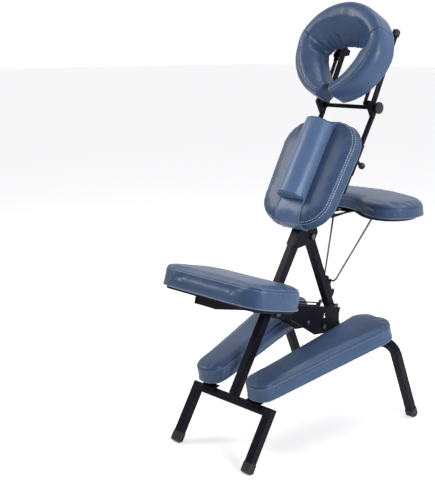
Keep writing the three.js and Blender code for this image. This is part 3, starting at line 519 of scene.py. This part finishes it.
def puff(obj, held, cap, pressure=4.0, frames=20):
    """Swells the cover with air pressure. held is each point's pin weight, cap the most it may move."""
    before = coordinates(obj)
    group = obj.vertex_groups.new(name="held")
    for level in np.unique(np.round(held, 1)):
        if level > 0:
            group.add([int(i) for i in np.nonzero(np.round(held, 1) == level)[0]], float(level), "REPLACE")
    modifier = obj.modifiers.new("cloth", "CLOTH")
    settings = modifier.settings
    settings.quality = 5
    settings.mass = 0.35
    settings.tension_stiffness = 18
    settings.compression_stiffness = 14
    settings.shear_stiffness = 8
    settings.bending_stiffness = 1.2
    settings.use_pressure = True
    settings.uniform_pressure_force = pressure
    settings.vertex_group_mass = "held"
    settings.pin_stiffness = 1.0
    settings.effector_weights.gravity = 0
    modifier.collision_settings.use_collision = False
    modifier.point_cache.frame_start = 1
    modifier.point_cache.frame_end = frames
    scene = bpy.context.scene
    for number in range(1, frames + 1):
        scene.frame_set(number)
    graph = bpy.context.evaluated_depsgraph_get()
    evaluated = obj.evaluated_get(graph)
    after = np.empty(len(before) * 3)
    evaluated.data.vertices.foreach_get("co", after)
    move = after.reshape(-1, 3) - before
    obj.modifiers.clear()
    obj.vertex_groups.clear()
    scene.frame_set(1)
    length = np.linalg.norm(move, axis=1, keepdims=True)
    limit = cap * np.tanh(length / cap)
    move = np.where(length > 1e-9, move / np.maximum(length, 1e-9) * limit, 0)
    set_coordinates(obj, before + move)


def refine(obj):
    modifier = obj.modifiers.new("fine", "SUBSURF")
    modifier.levels = 1
    modifier.render_levels = 1
    bake_modifiers(obj)


def wander(points, scale, seed):
    """Smooth repeatable ripple between -1 and 1, from a few sines."""
    draw = np.random.default_rng(seed)
    total = np.zeros(len(points))
    for _ in range(7):
        direction = draw.normal(size=3)
        direction /= np.linalg.norm(direction)
        wave = draw.uniform(0.6, 1.6) / scale
        total += np.sin(points @ direction * wave * 2 * math.pi + draw.uniform(0, 6.28))
    return total / 7


def to_frame(world, where):
    """Points in metres to millimetres in a frame."""
    rotation = np.array(where.matrix.to_3x3())
    return (world - np.array(where.matrix.translation)) @ rotation / MM


COVER_SHRINK = 2.5  # a pad starts this much smaller, because it swells


class Pad:
    """Upholstered pad over an outline in the XY plane of its frame, thickness along Z."""

    def __init__(self, name, where, outline, z0, z1, top_r, bottom_r, flip=False):
        self.name, self.where, self.flip = name, where, flip
        self.outline = resample(outline, 6.0)
        self.z0, self.z1, self.top_r, self.bottom_r = z0, z1, top_r, bottom_r

    def to_world(self, points):
        p = np.asarray(points, float)
        if self.flip:  # outline in XZ, thickness towards the client
            p = np.stack([p[:, 0], -p[:, 2], p[:, 1]], axis=1)
        return self.where.array(p)

    def to_local(self, points):
        p = to_frame(points, self.where)
        if self.flip:
            p = np.stack([p[:, 0], p[:, 2], -p[:, 1]], axis=1)
        return p

    def blank(self):
        """Rounded slab, a little smaller than the finished pad."""
        rings, shrink = [], COVER_SHRINK
        z0, z1 = self.z0 + shrink * 0.3, self.z1 - shrink
        for k in range(5):
            a = math.radians(90 * k / 4)
            inwards = shrink + self.bottom_r * (1 - math.sin(a))
            rings.append((inwards, z0 + self.bottom_r * (1 - math.cos(a))))
        for k in range(9):
            a = math.radians(90 * k / 8)
            inwards = shrink + self.top_r * (1 - math.cos(a))
            rings.append((inwards, z1 - self.top_r * (1 - math.sin(a))))
        loops = []
        for inwards, z in rings:
            loop = offset(self.outline, inwards)
            loops.append(self.to_world(np.column_stack([loop, np.full(len(loop), z)])))
        if self.flip:
            loops = [loop[::-1] for loop in loops]
        return stacked(self.name, loops)


def upholster(pad, voxel, crown, waist, cap, seed, dents, spread=26.0):
    """Makes the pad: remeshed slab, crowned top, drawn-in sides, swollen cover. In millimetres."""
    obj = pad.blank()
    voxel_remesh(obj, voxel * MM)
    local = pad.to_local(coordinates(obj))
    inside = edge_distance(local[:, :2], pad.outline)
    high = np.clip((local[:, 2] - pad.z0) / (pad.z1 - pad.z0), 0, 1)
    lift = crown * (1 - np.exp(-np.maximum(inside - pad.top_r * 0.5, 0) / spread))
    local[:, 2] += lift * np.clip((high - 0.45) / 0.5, 0, 1)
    middle = np.array([pad.outline[:, 0].mean(), pad.outline[:, 1].mean()])
    pull = waist * np.exp(-((high - 0.42) / 0.3) ** 2) * np.exp(-inside / 14.0)
    away = local[:, :2] - middle
    away /= np.maximum(np.linalg.norm(away, axis=1, keepdims=True), 1e-6)
    local[:, :2] -= away * pull[:, None]
    set_coordinates(obj, pad.to_world(local))
    held = np.where(high < 0.06, 1.0, 0.0)
    puff(obj, held, cap * MM)
    refine(obj)
    world = coordinates(obj)
    ripple = wander(world, 0.055, seed) * dents * MM
    local = pad.to_local(world)
    high = np.clip((local[:, 2] - pad.z0) / (pad.z1 - pad.z0), 0, 1)
    set_coordinates(obj, world + normals(obj) * (ripple * np.clip(high * 3, 0, 1))[:, None])
    cover(obj, VINYL)
    return obj


def tree_of(obj):
    mesh = obj.data
    return BVHTree.FromPolygons([v.co for v in mesh.vertices], [tuple(p.vertices) for p in mesh.polygons])


def laid_on(obj, pad, inwards, z):
    """A closed line on the pad's surface, from its outline moved inwards and held at height z."""
    tree = tree_of(obj)
    loop = resample(offset(pad.outline, inwards), 4.0)
    centre_z = (pad.z0 + pad.z1) / 2
    core = offset(pad.outline, 42.0)
    out = []
    for x, y in loop:
        nearest = core[np.argmin(((core - (x, y)) ** 2).sum(1))]
        target = np.array([[x, y, z], [nearest[0], nearest[1], centre_z]])
        a, b = (Vector(p) for p in pad.to_world(target))
        direction = (b - a).normalized()
        hit, normal, _, _ = tree.ray_cast(a - direction * 0.05, direction, 0.2)
        if hit is not None:
            out.append((hit, normal))
    return out


def groove(obj, line, width, depth):
    """Presses a narrow channel into the mesh along a line of (point, normal)."""
    dense = []
    for i in range(len(line)):
        a, b = line[i][0], line[(i + 1) % len(line)][0]
        if (a - b).length < 0.02:
            dense += [a, (a + b) / 2]
    kd = KDTree(len(dense))
    for i, p in enumerate(dense):
        kd.insert(p, i)
    kd.balance()
    world = coordinates(obj)
    normal = normals(obj)
    near = np.array([kd.find(Vector(p))[2] for p in world])
    press = depth * np.exp(-(near / width) ** 2)
    set_coordinates(obj, world - normal * press[:, None])


def tube(name, line, radius, material, lift=0.0, closed=True, sides=8):
    """Round cord along a line of (point, normal), raised by lift."""
    points = np.array([p + n * lift for p, n in line])
    count = len(points)
    step = np.roll(points, -1, axis=0) - np.roll(points, 1, axis=0)
    if not closed:
        step[0] = points[1] - points[0]
        step[-1] = points[-1] - points[-2]
    step /= np.linalg.norm(step, axis=1, keepdims=True)
    up = np.array([n for _, n in line])
    up -= step * (up * step).sum(1, keepdims=True)
    up /= np.linalg.norm(up, axis=1, keepdims=True)
    side = np.cross(step, up)
    rings = []
    for i in range(count):
        ring = []
        for k in range(sides):
            a = 2 * math.pi * k / sides
            ring.append(points[i] + (up[i] * math.cos(a) + side[i] * math.sin(a)) * radius)
        rings.append(ring)
    vertices = [tuple(p) for ring in rings for p in ring]
    faces = []
    for i in range(count if closed else count - 1):
        j = (i + 1) % count
        for k in range(sides):
            m = (k + 1) % sides
            faces.append((i * sides + k, j * sides + k, j * sides + m, i * sides + m))
    if not closed:
        faces.append(tuple(range(sides)))
        faces.append(tuple(reversed(range((count - 1) * sides, count * sides))))
    mesh = bpy.data.meshes.new(name)
    mesh.from_pydata(vertices, [], faces)
    mesh.materials.append(material)
    mesh.update()
    obj = new_object(name, mesh)
    tidy_normals(obj)
    smooth_shade(obj)
    return obj


def tidy_normals(obj):
    """Merges points that coincide and turns all faces outwards."""
    bm = bmesh.new()
    bm.from_mesh(obj.data)
    bmesh.ops.remove_doubles(bm, verts=bm.verts, dist=1e-6)
    bmesh.ops.recalc_face_normals(bm, faces=bm.faces)
    bm.to_mesh(obj.data)
    bm.free()


STITCH_PITCH = 7.6 * MM
STITCH_LENGTH = 5.0 * MM
STITCH_RADIUS = 0.7 * MM
STITCH_LIFT = 0.3 * MM


def stitches(name, lines, material):
    """Rows of thread stitches along lines of (point, normal), each row closed or open."""
    vertices, faces = [], []
    for line, closed in lines:
        points = [p for p, _ in line]
        if closed:
            points = points + points[:1]
        lengths = [0.0]
        for a, b in zip(points, points[1:]):
            lengths.append(lengths[-1] + (b - a).length)
        total = lengths[-1]
        count = int(total / STITCH_PITCH)
        position = np.array([list(p) for p in points])
        normal = np.array([list(n) for _, n in line] + ([list(line[0][1])] if closed else []))
        for i in range(count):
            ends = []
            for s in (i * STITCH_PITCH, i * STITCH_PITCH + STITCH_LENGTH):
                s = min(s, total)
                p = np.array([np.interp(s, lengths, position[:, k]) for k in range(3)])
                n = np.array([np.interp(s, lengths, normal[:, k]) for k in range(3)])
                ends.append((p, n / max(np.linalg.norm(n), 1e-9)))
            add_stitch(vertices, faces, ends)
    mesh = bpy.data.meshes.new(name)
    mesh.from_pydata(vertices, [], faces)
    mesh.materials.append(material)
    mesh.update()
    obj = new_object(name, mesh)
    smooth_shade(obj)
    return obj


def add_stitch(vertices, faces, ends):
    """One stitch between two (point, normal) ends, thin and sunk where it enters the cover."""
    (a, na), (b, nb) = ends
    along = b - a
    size = np.linalg.norm(along)
    if size < 1e-5:
        return
    along /= size
    up = (na + nb) / np.linalg.norm(na + nb)
    up -= along * (up @ along)
    up /= np.linalg.norm(up)
    side = np.cross(along, up)
    first = len(vertices)
    stations = ((0.0, 0.35, -0.5), (0.2, 1.0, 0.6), (0.8, 1.0, 0.6), (1.0, 0.35, -0.5))
    for t, width, rise in stations:
        centre = a + along * size * t + up * (STITCH_LIFT * rise)
        for k in range(6):
            angle = 2 * math.pi * k / 6
            spoke = up * math.cos(angle) + side * math.sin(angle)
            vertices.append(tuple(centre + spoke * STITCH_RADIUS * width))
    for s in range(3):
        for k in range(6):
            m = (k + 1) % 6
            r = first + s * 6
            faces.append((r + k, r + m, r + 6 + m, r + 6 + k))
    faces.append(tuple(first + k for k in reversed(range(6))))
    faces.append(tuple(first + 18 + k for k in range(6)))


def finish_piece(obj, body):
    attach(obj, body)


def sunk_seam(obj, name, body, find_line, width, depth, radius=0.8, lift=-0.2, closed=True):
    """A pressed seam with a dark joint in it. find_line finds the line again once it is pressed."""
    groove(obj, find_line(), width * MM, depth * MM)
    joint = tube(name, find_line(), radius * MM, SEAM, lift * MM, closed)
    finish_piece(joint, body)


def piping(obj, pad, name, body, z, radius, lift):
    """A cord sewn round the pad's side at height z."""
    cord = tube(name, laid_on(obj, pad, 1.0, z), radius * MM, PIPING, lift * MM)
    finish_piece(cord, body)


def seam_rows(pad, obj, name, body, inwards, z, rows, thread_look=THREAD_DIM):
    """A sunk seam, and a row of stitches at each listed (inwards, up) step from it."""
    sunk_seam(obj, f"{name}_joint", body, lambda: laid_on(obj, pad, inwards, z), 2.4, 1.4, 0.85, -0.15)
    lines = [(laid_on(obj, pad, inwards + di, z + dz), True) for di, dz in rows]
    thread = stitches(name, lines, thread_look)
    finish_piece(thread, body)


# ------------------------------------------------------------------ seat
def build_seat():
    pad = Pad("seat_pad", SEAT, seat_outline(), z0=33.4, z1=96.0, top_r=8.0, bottom_r=4.0)
    obj = upholster(pad, voxel=4.6, crown=4.5, waist=1.5, cap=4.0, seed=11, dents=0.15, spread=46.0)
    seam_rows(pad, obj, "seat_stitching", "seat", 2.0, 91.0, [(5.0, 3.0), (-1.0, -5.0)])
    piping(obj, pad, "seat_piping", "seat", 36.0, 2.0, 0.8)
    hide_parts("seat_cushion")
    finish_piece(obj, "seat")
    seat_bolts()


SEAT_PLATE_FACE = 41.6  # outer face of a side plate, from the middle
SEAT_BOLTS = ((143.0, -23.5), (223.0, -35.0))
BOLT_PROFILE = ((0.0, 5.6), (0.9, 6.2), (2.6, 6.0), (3.8, 4.4), (4.3, 2.2))  # height, radius


def seat_bolts():
    """Round bolt heads on the outer face of each side plate."""
    for word, side in (("right", 1), ("left", -1)):
        for number, (v, w) in enumerate(SEAT_BOLTS):
            rings = []
            for out, r in BOLT_PROFILE:
                ring = [(side * (SEAT_PLATE_FACE + out), v + r * math.cos(a), w + side * r * math.sin(a))
                        for a in np.linspace(0, 2 * math.pi, 20, endpoint=False)]
                rings.append(SEAT.array(np.array(ring)))
            bolt = stacked(f"seat_bolt_{word}_{number}", rings)
            tidy_normals(bolt)
            smooth_shade(bolt)
            bolt.data.materials.append(ZINC)
            finish_piece(bolt, "seat")


# ------------------------------------------------------------------ knee pads
def build_knees():
    outline = knee_outline()
    for word, side, seed in (("right", 1, 21), ("left", -1, 22)):
        shape = outline if side > 0 else (outline * (-1, 1))[::-1]
        body = f"knee_pad_{word}"
        pad = Pad(body, KNEE, shape, z0=28.4, z1=82.5, top_r=7.0, bottom_r=4.0)
        obj = upholster(pad, voxel=4.4, crown=3.0, waist=1.0, cap=4.0, seed=seed, dents=0.3)
        seam_rows(pad, obj, f"knee_stitching_{word}", body, 1.5, 77.0, [(-1.0, -5.5)])
        piping(obj, pad, f"knee_piping_{word}", body, 31.0, 1.6, 0.5)
        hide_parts(f"knee_cushion_{word}")
        finish_piece(obj, body)


# ------------------------------------------------------------------ chest pad
def build_chest():
    pad = Pad("chest_pad", SPINE, chest_outline(), z0=29.5, z1=69.5, top_r=8.0, bottom_r=4.0, flip=True)
    obj = upholster(pad, voxel=4.8, crown=7.0, waist=1.5, cap=4.0, seed=31, dents=0.3, spread=40.0)
    rows = [(4.5, 3.5), (-0.5, -4.0)]
    seam_rows(pad, obj, "chest_stitching", "rear_frame", 3.0, 64.0, rows, THREAD)
    piping(obj, pad, "chest_piping", "rear_frame", 32.0, 2.2, 0.8)
    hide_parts("chest_cushion")
    finish_piece(obj, "rear_frame")
    return obj


# ------------------------------------------------------------------ bolster and its strap
BOLSTER_R = 48.4
BOLSTER_LOW, BOLSTER_HIGH = 779.0, 1029.0  # along the spine
BOLSTER_BACK = 80.2                        # its flat back, in front of the spine


def build_bolster():
    """Half round roll with a flat back and gathered ends."""
    radius, low, high, back = BOLSTER_R, BOLSTER_LOW, BOLSTER_HIGH, BOLSTER_BACK
    loops = []
    stations = [(low, 0.97), (low + 1.5, 1.0), (high - 1.5, 1.0), (high, 0.97)]
    for z, size in stations:
        loop = []
        for i in range(48):
            a = math.pi * i / 47
            loop.append((radius * size * math.cos(a), -back - 1.0 - radius * size * math.sin(a), z))
        for i in range(1, 16):
            x = -radius * size + 2 * radius * size * i / 16
            loop.append((x, -back, z))
        loops.append(SPINE.array(np.array(loop)))
    obj = stacked("chest_bolster_roll", loops)
    voxel_remesh(obj, 3.2 * MM)
    local = to_frame(coordinates(obj), SPINE)
    ends = (local[:, 2] < low + 2.5) | (local[:, 2] > high - 2.5)
    held = np.where(local[:, 1] > -back - 4, 1.0, np.where(ends, 0.7, 0.0))
    puff(obj, held, 2.0 * MM, 3.0)
    refine(obj)
    world = coordinates(obj)
    local = to_frame(world, SPINE)
    near_end = np.exp(-(local[:, 2] - low) / 30.0) + np.exp(-(high - local[:, 2]) / 30.0)
    angle = np.arctan2(-(local[:, 1] + back), local[:, 0])
    gathers = np.sin(angle * 17 + 2 * np.sin(angle * 3)) * np.clip(near_end, 0, 1) * 0.35
    ripple = wander(world, 0.05, 41) * 0.6
    set_coordinates(obj, world + normals(obj) * ((ripple + gathers) * MM)[:, None])
    # the roll takes the lighter vinyl copy, which is painted light
    cover(obj, LIT_STRAP_VINYL)
    for z, word in ((low + 3.0, "lower"), (high - 3.0, "upper")):
        line = bolster_ring(obj, z)
        groove(obj, line, 1.8 * MM, 0.8 * MM)
        cord = tube(f"bolster_seam_{word}", line, 0.8 * MM, SEAM, -0.4 * MM, closed=False)
        finish_piece(cord, "rear_frame")
    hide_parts("chest_bolster")
    finish_piece(obj, "rear_frame")


def bolster_ring(obj, z):
    """A line round the roll's curved side at z along the spine."""
    tree = tree_of(obj)
    out, reach = [], BOLSTER_R * 1.6
    for i in range(41):
        a = math.pi * (0.02 + 0.96 * i / 40)
        far = SPINE.point(reach * math.cos(a), -BOLSTER_BACK - reach * math.sin(a), z)
        centre = SPINE.point(0, -BOLSTER_BACK - 6, z)
        hit, normal, _, _ = tree.ray_cast(far, (centre - far).normalized(), 0.3)
        if hit is not None:
            out.append((hit, normal))
    return out


STRAP_HALF = 46.0
STRAP_LIFT = 1.5      # middle of the strap above the cover
BOARD_BACK = 18.4     # the strap's run behind the board


def build_flap(chest):
    """Vinyl strap that carries the bolster: over the pad, round both ends and behind the board."""
    tree = tree_of(chest)
    columns = np.linspace(-STRAP_HALF, STRAP_HALF, 23)
    rows = strap_end(tree, columns, CHEST_TOP, 1.0)
    rows += [strap_row(tree, columns, u) for u in np.linspace(CHEST_TOP - 16, CHEST_BOTTOM + 16, 60)]
    rows += strap_end(tree, columns, CHEST_BOTTOM, -1.0)[::-1]
    grid = SPINE.array(np.array(rows).reshape(-1, 3)).reshape(len(rows), len(columns), 3)
    sheet = grid_sheet("bolster_strap", grid, 1.8 * MM)
    # the strap takes the lighter vinyl copy, which is painted light
    sheet.data.materials.append(LIT_STRAP_VINYL)
    smooth_shade(sheet)
    outward = [Vector(n) for n in row_normals(grid)]
    for word, column in (("right", -1), ("left", 0)):
        line = [(Vector(grid[i][column]), outward[i]) for i in range(len(rows))]
        cord = tube(f"bolster_strap_binding_{word}", line, 1.8 * MM, PIPING, 0.0, closed=False)
        finish_piece(cord, "rear_frame")
    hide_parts("bolster_flap")
    finish_piece(sheet, "rear_frame")


def strap_row(tree, columns, u):
    """One row of the strap across the front of the pad, at u along the spine."""
    row = []
    for x in columns:
        hit, _, _, _ = tree.ray_cast(SPINE.point(x, -160.0, u), SPINE.direction(0, 1, 0), 0.3)
        p = to_frame(np.array([list(hit)]), SPINE)[0][1] if hit is not None else -60.0
        row.append((x, p - STRAP_LIFT, u))
    return row


def strap_end(tree, columns, edge, up):
    """Rows from behind the board round the end of the pad to its front."""
    rows = []
    for back in (54.0, 42.0, 30.0, 18.0, 8.0, 2.0):
        rows.append([(x, -BOARD_BACK, edge - up * back) for x in columns])
    inner = edge - up * 40.0  # the rays of the fan meet here
    fan = []
    for degrees in np.linspace(100.0, 14.0, 14):
        a = math.radians(degrees)
        row = []
        for x in columns:
            away = np.array([-math.cos(a), up * math.sin(a)])
            start = SPINE.point(x, -46.0 + away[0] * 130, inner + away[1] * 130)
            direction = SPINE.direction(0, -away[0], -away[1])
            hit, _, _, _ = tree.ray_cast(start, direction, 0.3)
            p, u = to_frame(np.array([list(hit)]), SPINE)[0][1:] if hit is not None else (-46.0, edge)
            row.append((x, p + away[0] * STRAP_LIFT, u + away[1] * STRAP_LIFT))
        fan.append(row)
    first = fan[0]
    for share in (0.15, 0.5, 0.85):
        rows.append([(x, -BOARD_BACK - 1.5 + share * (p + BOARD_BACK), u + (share - 1) * 0.6 * up)
                     for x, p, u in first])
    return rows + fan


def row_normals(grid):
    """Direction away from the pad for each row of the strap."""
    along = np.gradient(grid.mean(axis=1), axis=0)
    across = np.array([1.0, 0.0, 0.0])
    out = np.cross(along, across)
    return out / np.linalg.norm(out, axis=1, keepdims=True)


def grid_sheet(name, grid, thickness):
    rows, columns = grid.shape[:2]
    faces = [(i * columns + j, i * columns + j + 1, (i + 1) * columns + j + 1, (i + 1) * columns + j)
             for i in range(rows - 1) for j in range(columns - 1)]
    mesh = bpy.data.meshes.new(name)
    mesh.from_pydata([tuple(p) for p in grid.reshape(-1, 3)], [], faces)
    obj = new_object(name, mesh)
    modifier = obj.modifiers.new("thick", "SOLIDIFY")
    modifier.thickness = thickness
    modifier.offset = 0.0
    bake_modifiers(obj)
    tidy_normals(obj)
    return obj


# ------------------------------------------------------------------ face cradle
HORN_END = -79.5      # the horns end here, in degrees round the outline from the right
RING_WIDE, RING_UP, RING_DOWN = 166.0, 157.0, 144.0
RING_DROP = 3.0       # the cover hangs this far below the board


def blend_down(a, top=0.45, bottom=-0.05):
    """0 on the upper part of the ring, 1 on the horns."""
    t = min(max((top - math.sin(a)) / (top - bottom), 0.0), 1.0)
    return t * t * (3 - 2 * t)


def ring_outer(a):
    """Outer edge of the cover, as (x, up), a little narrower below."""
    s = math.sin(a)
    wide = RING_WIDE * (1 + 0.07 * min(s, 0.0))
    return wide * math.cos(a), (RING_UP if s > 0 else RING_DOWN) * s - RING_DROP


def ring_throat(a):
    """Edge of the face opening: broad above and narrowing to where the horns meet."""
    c, s = math.cos(a), math.sin(a)
    if s > 0:
        return math.copysign(78 * abs(c) ** 0.8, c), 35 * s
    return math.copysign(78 * abs(c) ** 1.3 * (1 + 0.4 * s), c), 103 * s


def ring_section(degrees):
    """Closed section of the cover at an angle round the ring, as (x, behind, up)."""
    a = math.radians(degrees)
    down = blend_down(a)
    outer, throat = ring_outer(a), ring_throat(a)

    def across(k):
        """k is 0 at the throat and 1 at the outer edge."""
        return tuple(t + (o - t) * k for t, o in zip(throat, outer))

    def mix(upper, lower):
        return upper + (lower - upper) * down

    loop = [
        (*across(0.985), 38.0), (*outer, 20.0), (*across(1.005), -4.0),
        (*across(mix(1.0, 0.96)), -24.0),
        (*across(mix(0.975, 0.84)), -37.0), (*across(mix(0.80, 0.64)), mix(-41.0, -42.5)),
        (*across(mix(0.60, 0.42)), mix(-39.5, -38.0)), (*across(mix(0.52, 0.16)), mix(-28.0, -29.0)),
        (*across(mix(0.24, 0.0)), mix(6.0, -14.0)), (*throat, mix(30.0, 12.0)), (*throat, 37.0),
        (*across(0.08), 39.5), (*across(0.9), 39.5),
    ]
    smooth = smooth_closed(loop, 4)
    return np.stack([smooth[:, 0], smooth[:, 2], smooth[:, 1]], axis=1)


def build_ring():
    loops = [RING.array(ring_section(d)) for d in np.linspace(HORN_END, 180 - HORN_END, 141)]
    obj = stacked("face_pad", loops)
    tidy_normals(obj)
    voxel_remesh(obj, 4.2 * MM)
    relax(obj, 1)
    held = np.where(to_frame(coordinates(obj), RING)[:, 1] > 33, 1.0, 0.0)
    puff(obj, held, 3.0 * MM, 3.0)
    refine(obj)
    pucker(obj)
    cover(obj, VINYL)
    for degrees in (27, 153):
        name = f"face_seam_{degrees}"
        sunk_seam(obj, name, "face_cradle", lambda: ring_seam(obj, degrees), 2.0, 1.6, closed=False)
    sunk_seam(obj, "face_edge_seam", "face_cradle", lambda: ring_edge(obj), 2.2, 1.5, closed=False)
    thread = stitches("face_stitching", [(ring_edge(obj, 0.03), False)], THREAD_DIM)
    finish_piece(thread, "face_cradle")
    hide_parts("face_cushion")
    finish_piece(obj, "face_cradle")


def pucker(obj):
    """Small gathers where the cover is drawn into the opening."""
    world = coordinates(obj)
    local = to_frame(world, RING)
    angle = np.arctan2(local[:, 2] + 20, local[:, 0])
    reach = np.hypot(local[:, 0] / 92.0, (local[:, 2] + 10) / 72.0)
    inner = np.exp(-((reach - 0.9) / 0.22) ** 2) * np.clip((local[:, 1] + 26) / 26, 0, 1)
    upper = np.clip((local[:, 2] + 40) / 60, 0.15, 1)
    folds = np.sin(angle * 30 + np.sin(angle * 5) * 2.0) * 0.9 + np.sin(angle * 17 + 1.0) * 0.7
    ripple = wander(world, 0.05, 61) * 0.8
    rise = (folds * inner * upper * 1.3 + ripple) * MM
    set_coordinates(obj, world + normals(obj) * rise[:, None])


def nearest_line(obj, points):
    tree = tree_of(obj)
    out = []
    for point in points:
        hit, normal, _, _ = tree.find_nearest(Vector(point))
        if hit is not None:
            out.append((hit, normal))
    return out


def ring_seam(obj, degrees):
    """Seam across the face side from the back of the wall to the back of the opening."""
    section = ring_section(degrees)
    points = RING.array(section)
    keep = points[(np.arange(len(points)) > 3) & (np.arange(len(points)) < 40)]
    dense = [keep[i] + (keep[i + 1] - keep[i]) * k / 4 for i in range(len(keep) - 1) for k in range(4)]
    return nearest_line(obj, dense)


def ring_edge(obj, inwards=0.0):
    """Seam between the face and the wall: at the outer edge above, along the crest of the horns."""
    points = []
    for degrees in np.linspace(HORN_END + 2, 178 - HORN_END, 240):
        a = math.radians(degrees)
        down = blend_down(a)
        k = 0.985 + (0.66 - 0.985) * down - inwards
        outer, throat = ring_outer(a), ring_throat(a)
        x, z = (t + (o - t) * k for t, o in zip(throat, outer))
        points.append((x, -33.0 - 9.0 * down - 40 * inwards * (1 - down), z))
    return nearest_line(obj, RING.array(np.array(points)))


# ------------------------------------------------------------------ armrest
def build_armrest():
    pad = Pad("armrest_pad", ARMREST, armrest_outline(), z0=9.4, z1=55.0, top_r=13.0, bottom_r=6.0)
    obj = upholster(pad, voxel=4.6, crown=3.0, waist=1.0, cap=4.0, seed=51, dents=0.2, spread=36.0)
    sunk_seam(obj, "armrest_seam", "armrest", lambda: laid_on(obj, pad, 0.5, 44.0), 2.2, 1.4)
    piping(obj, pad, "armrest_piping", "armrest", 12.5, 1.8, 0.5)
    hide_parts("armrest_cushion")
    finish_piece(obj, "armrest")


# ------------------------------------------------------------------ floor, light, camera
def floor_material():
    n = Nodes("studio_floor")
    speck = n.noise(3.0, 2.0, 0.5)
    tone = n.ramp(speck, [(0.0, (0.66, 0.66, 0.67)), (1.0, (0.67, 0.67, 0.68))])
    n.link(tone, n.shader.inputs["Base Color"])
    n.link(tone, n.shader.inputs["Emission Color"])
    n.set(Roughness=0.8, Specular_IOR_Level=0.1, Emission_Strength=0.66)
    return n.material


BRIGHT_SIDE = (-0.25, 0.90, 0.25)


def build_world():
    """White behind the chair as the camera sees it, dimmer towards the camera."""
    world = bpy.data.worlds.new("studio")
    bpy.context.scene.world = world
    world.use_nodes = True
    tree = world.node_tree
    coords = tree.nodes.new("ShaderNodeTexCoord")
    dot = tree.nodes.new("ShaderNodeVectorMath")
    dot.operation = "DOT_PRODUCT"
    dot.inputs[1].default_value = BRIGHT_SIDE
    tree.links.new(coords.outputs["Generated"], dot.inputs[0])
    spread = tree.nodes.new("ShaderNodeMapRange")
    for name, value in (("From Min", -0.6), ("From Max", 0.45), ("To Min", 0.08), ("To Max", 1.02)):
        spread.inputs[name].default_value = value
    tree.links.new(dot.outputs["Value"], spread.inputs["Value"])
    background = tree.nodes["Background"]
    background.inputs["Color"].default_value = (1.0, 1.0, 1.0, 1.0)
    tree.links.new(spread.outputs["Result"], background.inputs["Strength"])


def build_studio():
    mesh = bpy.data.meshes.new("floor")
    size = 40.0
    corners = [(-size, -size, 0), (size, -size, 0), (size, size, 0), (-size, size, 0)]
    mesh.from_pydata(corners, [], [(0, 1, 2, 3)])
    floor = new_object("floor", mesh)
    floor.data.materials.append(floor_material())
    build_world()
    lamp("key", (2.7, -0.5, 1.5), 1.1, 56)
    lamp("left", (-2.2, -1.4, 2.3), 1.1, 44)
    lamp("top", (0.3, 0.6, 3.2), 1.6, 30)


LAMPS_AIM_AT = (0, 0, 0.6)


def lamp(name, at, size, power):
    data = bpy.data.lights.new(name, "AREA")
    data.shape = "DISK"
    data.size = size
    data.energy = power
    obj = bpy.data.objects.new(name, data)
    bpy.context.scene.collection.objects.link(obj)
    obj.location = at
    obj.rotation_euler = (Vector(LAMPS_AIM_AT) - Vector(at)).to_track_quat("-Z", "Y").to_euler()


CAMERA_AT = (1.811, -1.634, 1.150)  # from the middle of the rear feet
CAMERA_YAW = 45.21
CAMERA_DOWN = 11.56


def build_camera():
    data = bpy.data.cameras.new("camera")
    data.lens = 68.62
    data.sensor_width = 36.0
    data.shift_x = -0.0681
    data.shift_y = -0.0162
    data.clip_end = 60.0
    camera = bpy.data.objects.new("camera", data)
    bpy.context.scene.collection.objects.link(camera)
    foot = leg_axis("foot_rear_left", REAR_FOOT_AHEAD)
    camera.location = Vector(CAMERA_AT) + foot
    camera.rotation_euler = (math.radians(90 - CAMERA_DOWN), 0, math.radians(CAMERA_YAW))
    bpy.context.scene.camera = camera


build_camera()
build_studio()
dress_cad()
build_seat()
build_knees()
chest_cover = build_chest()
build_bolster()
build_flap(chest_cover)
build_ring()
build_armrest()

bpy.context.scene.view_settings.view_transform = "Standard"
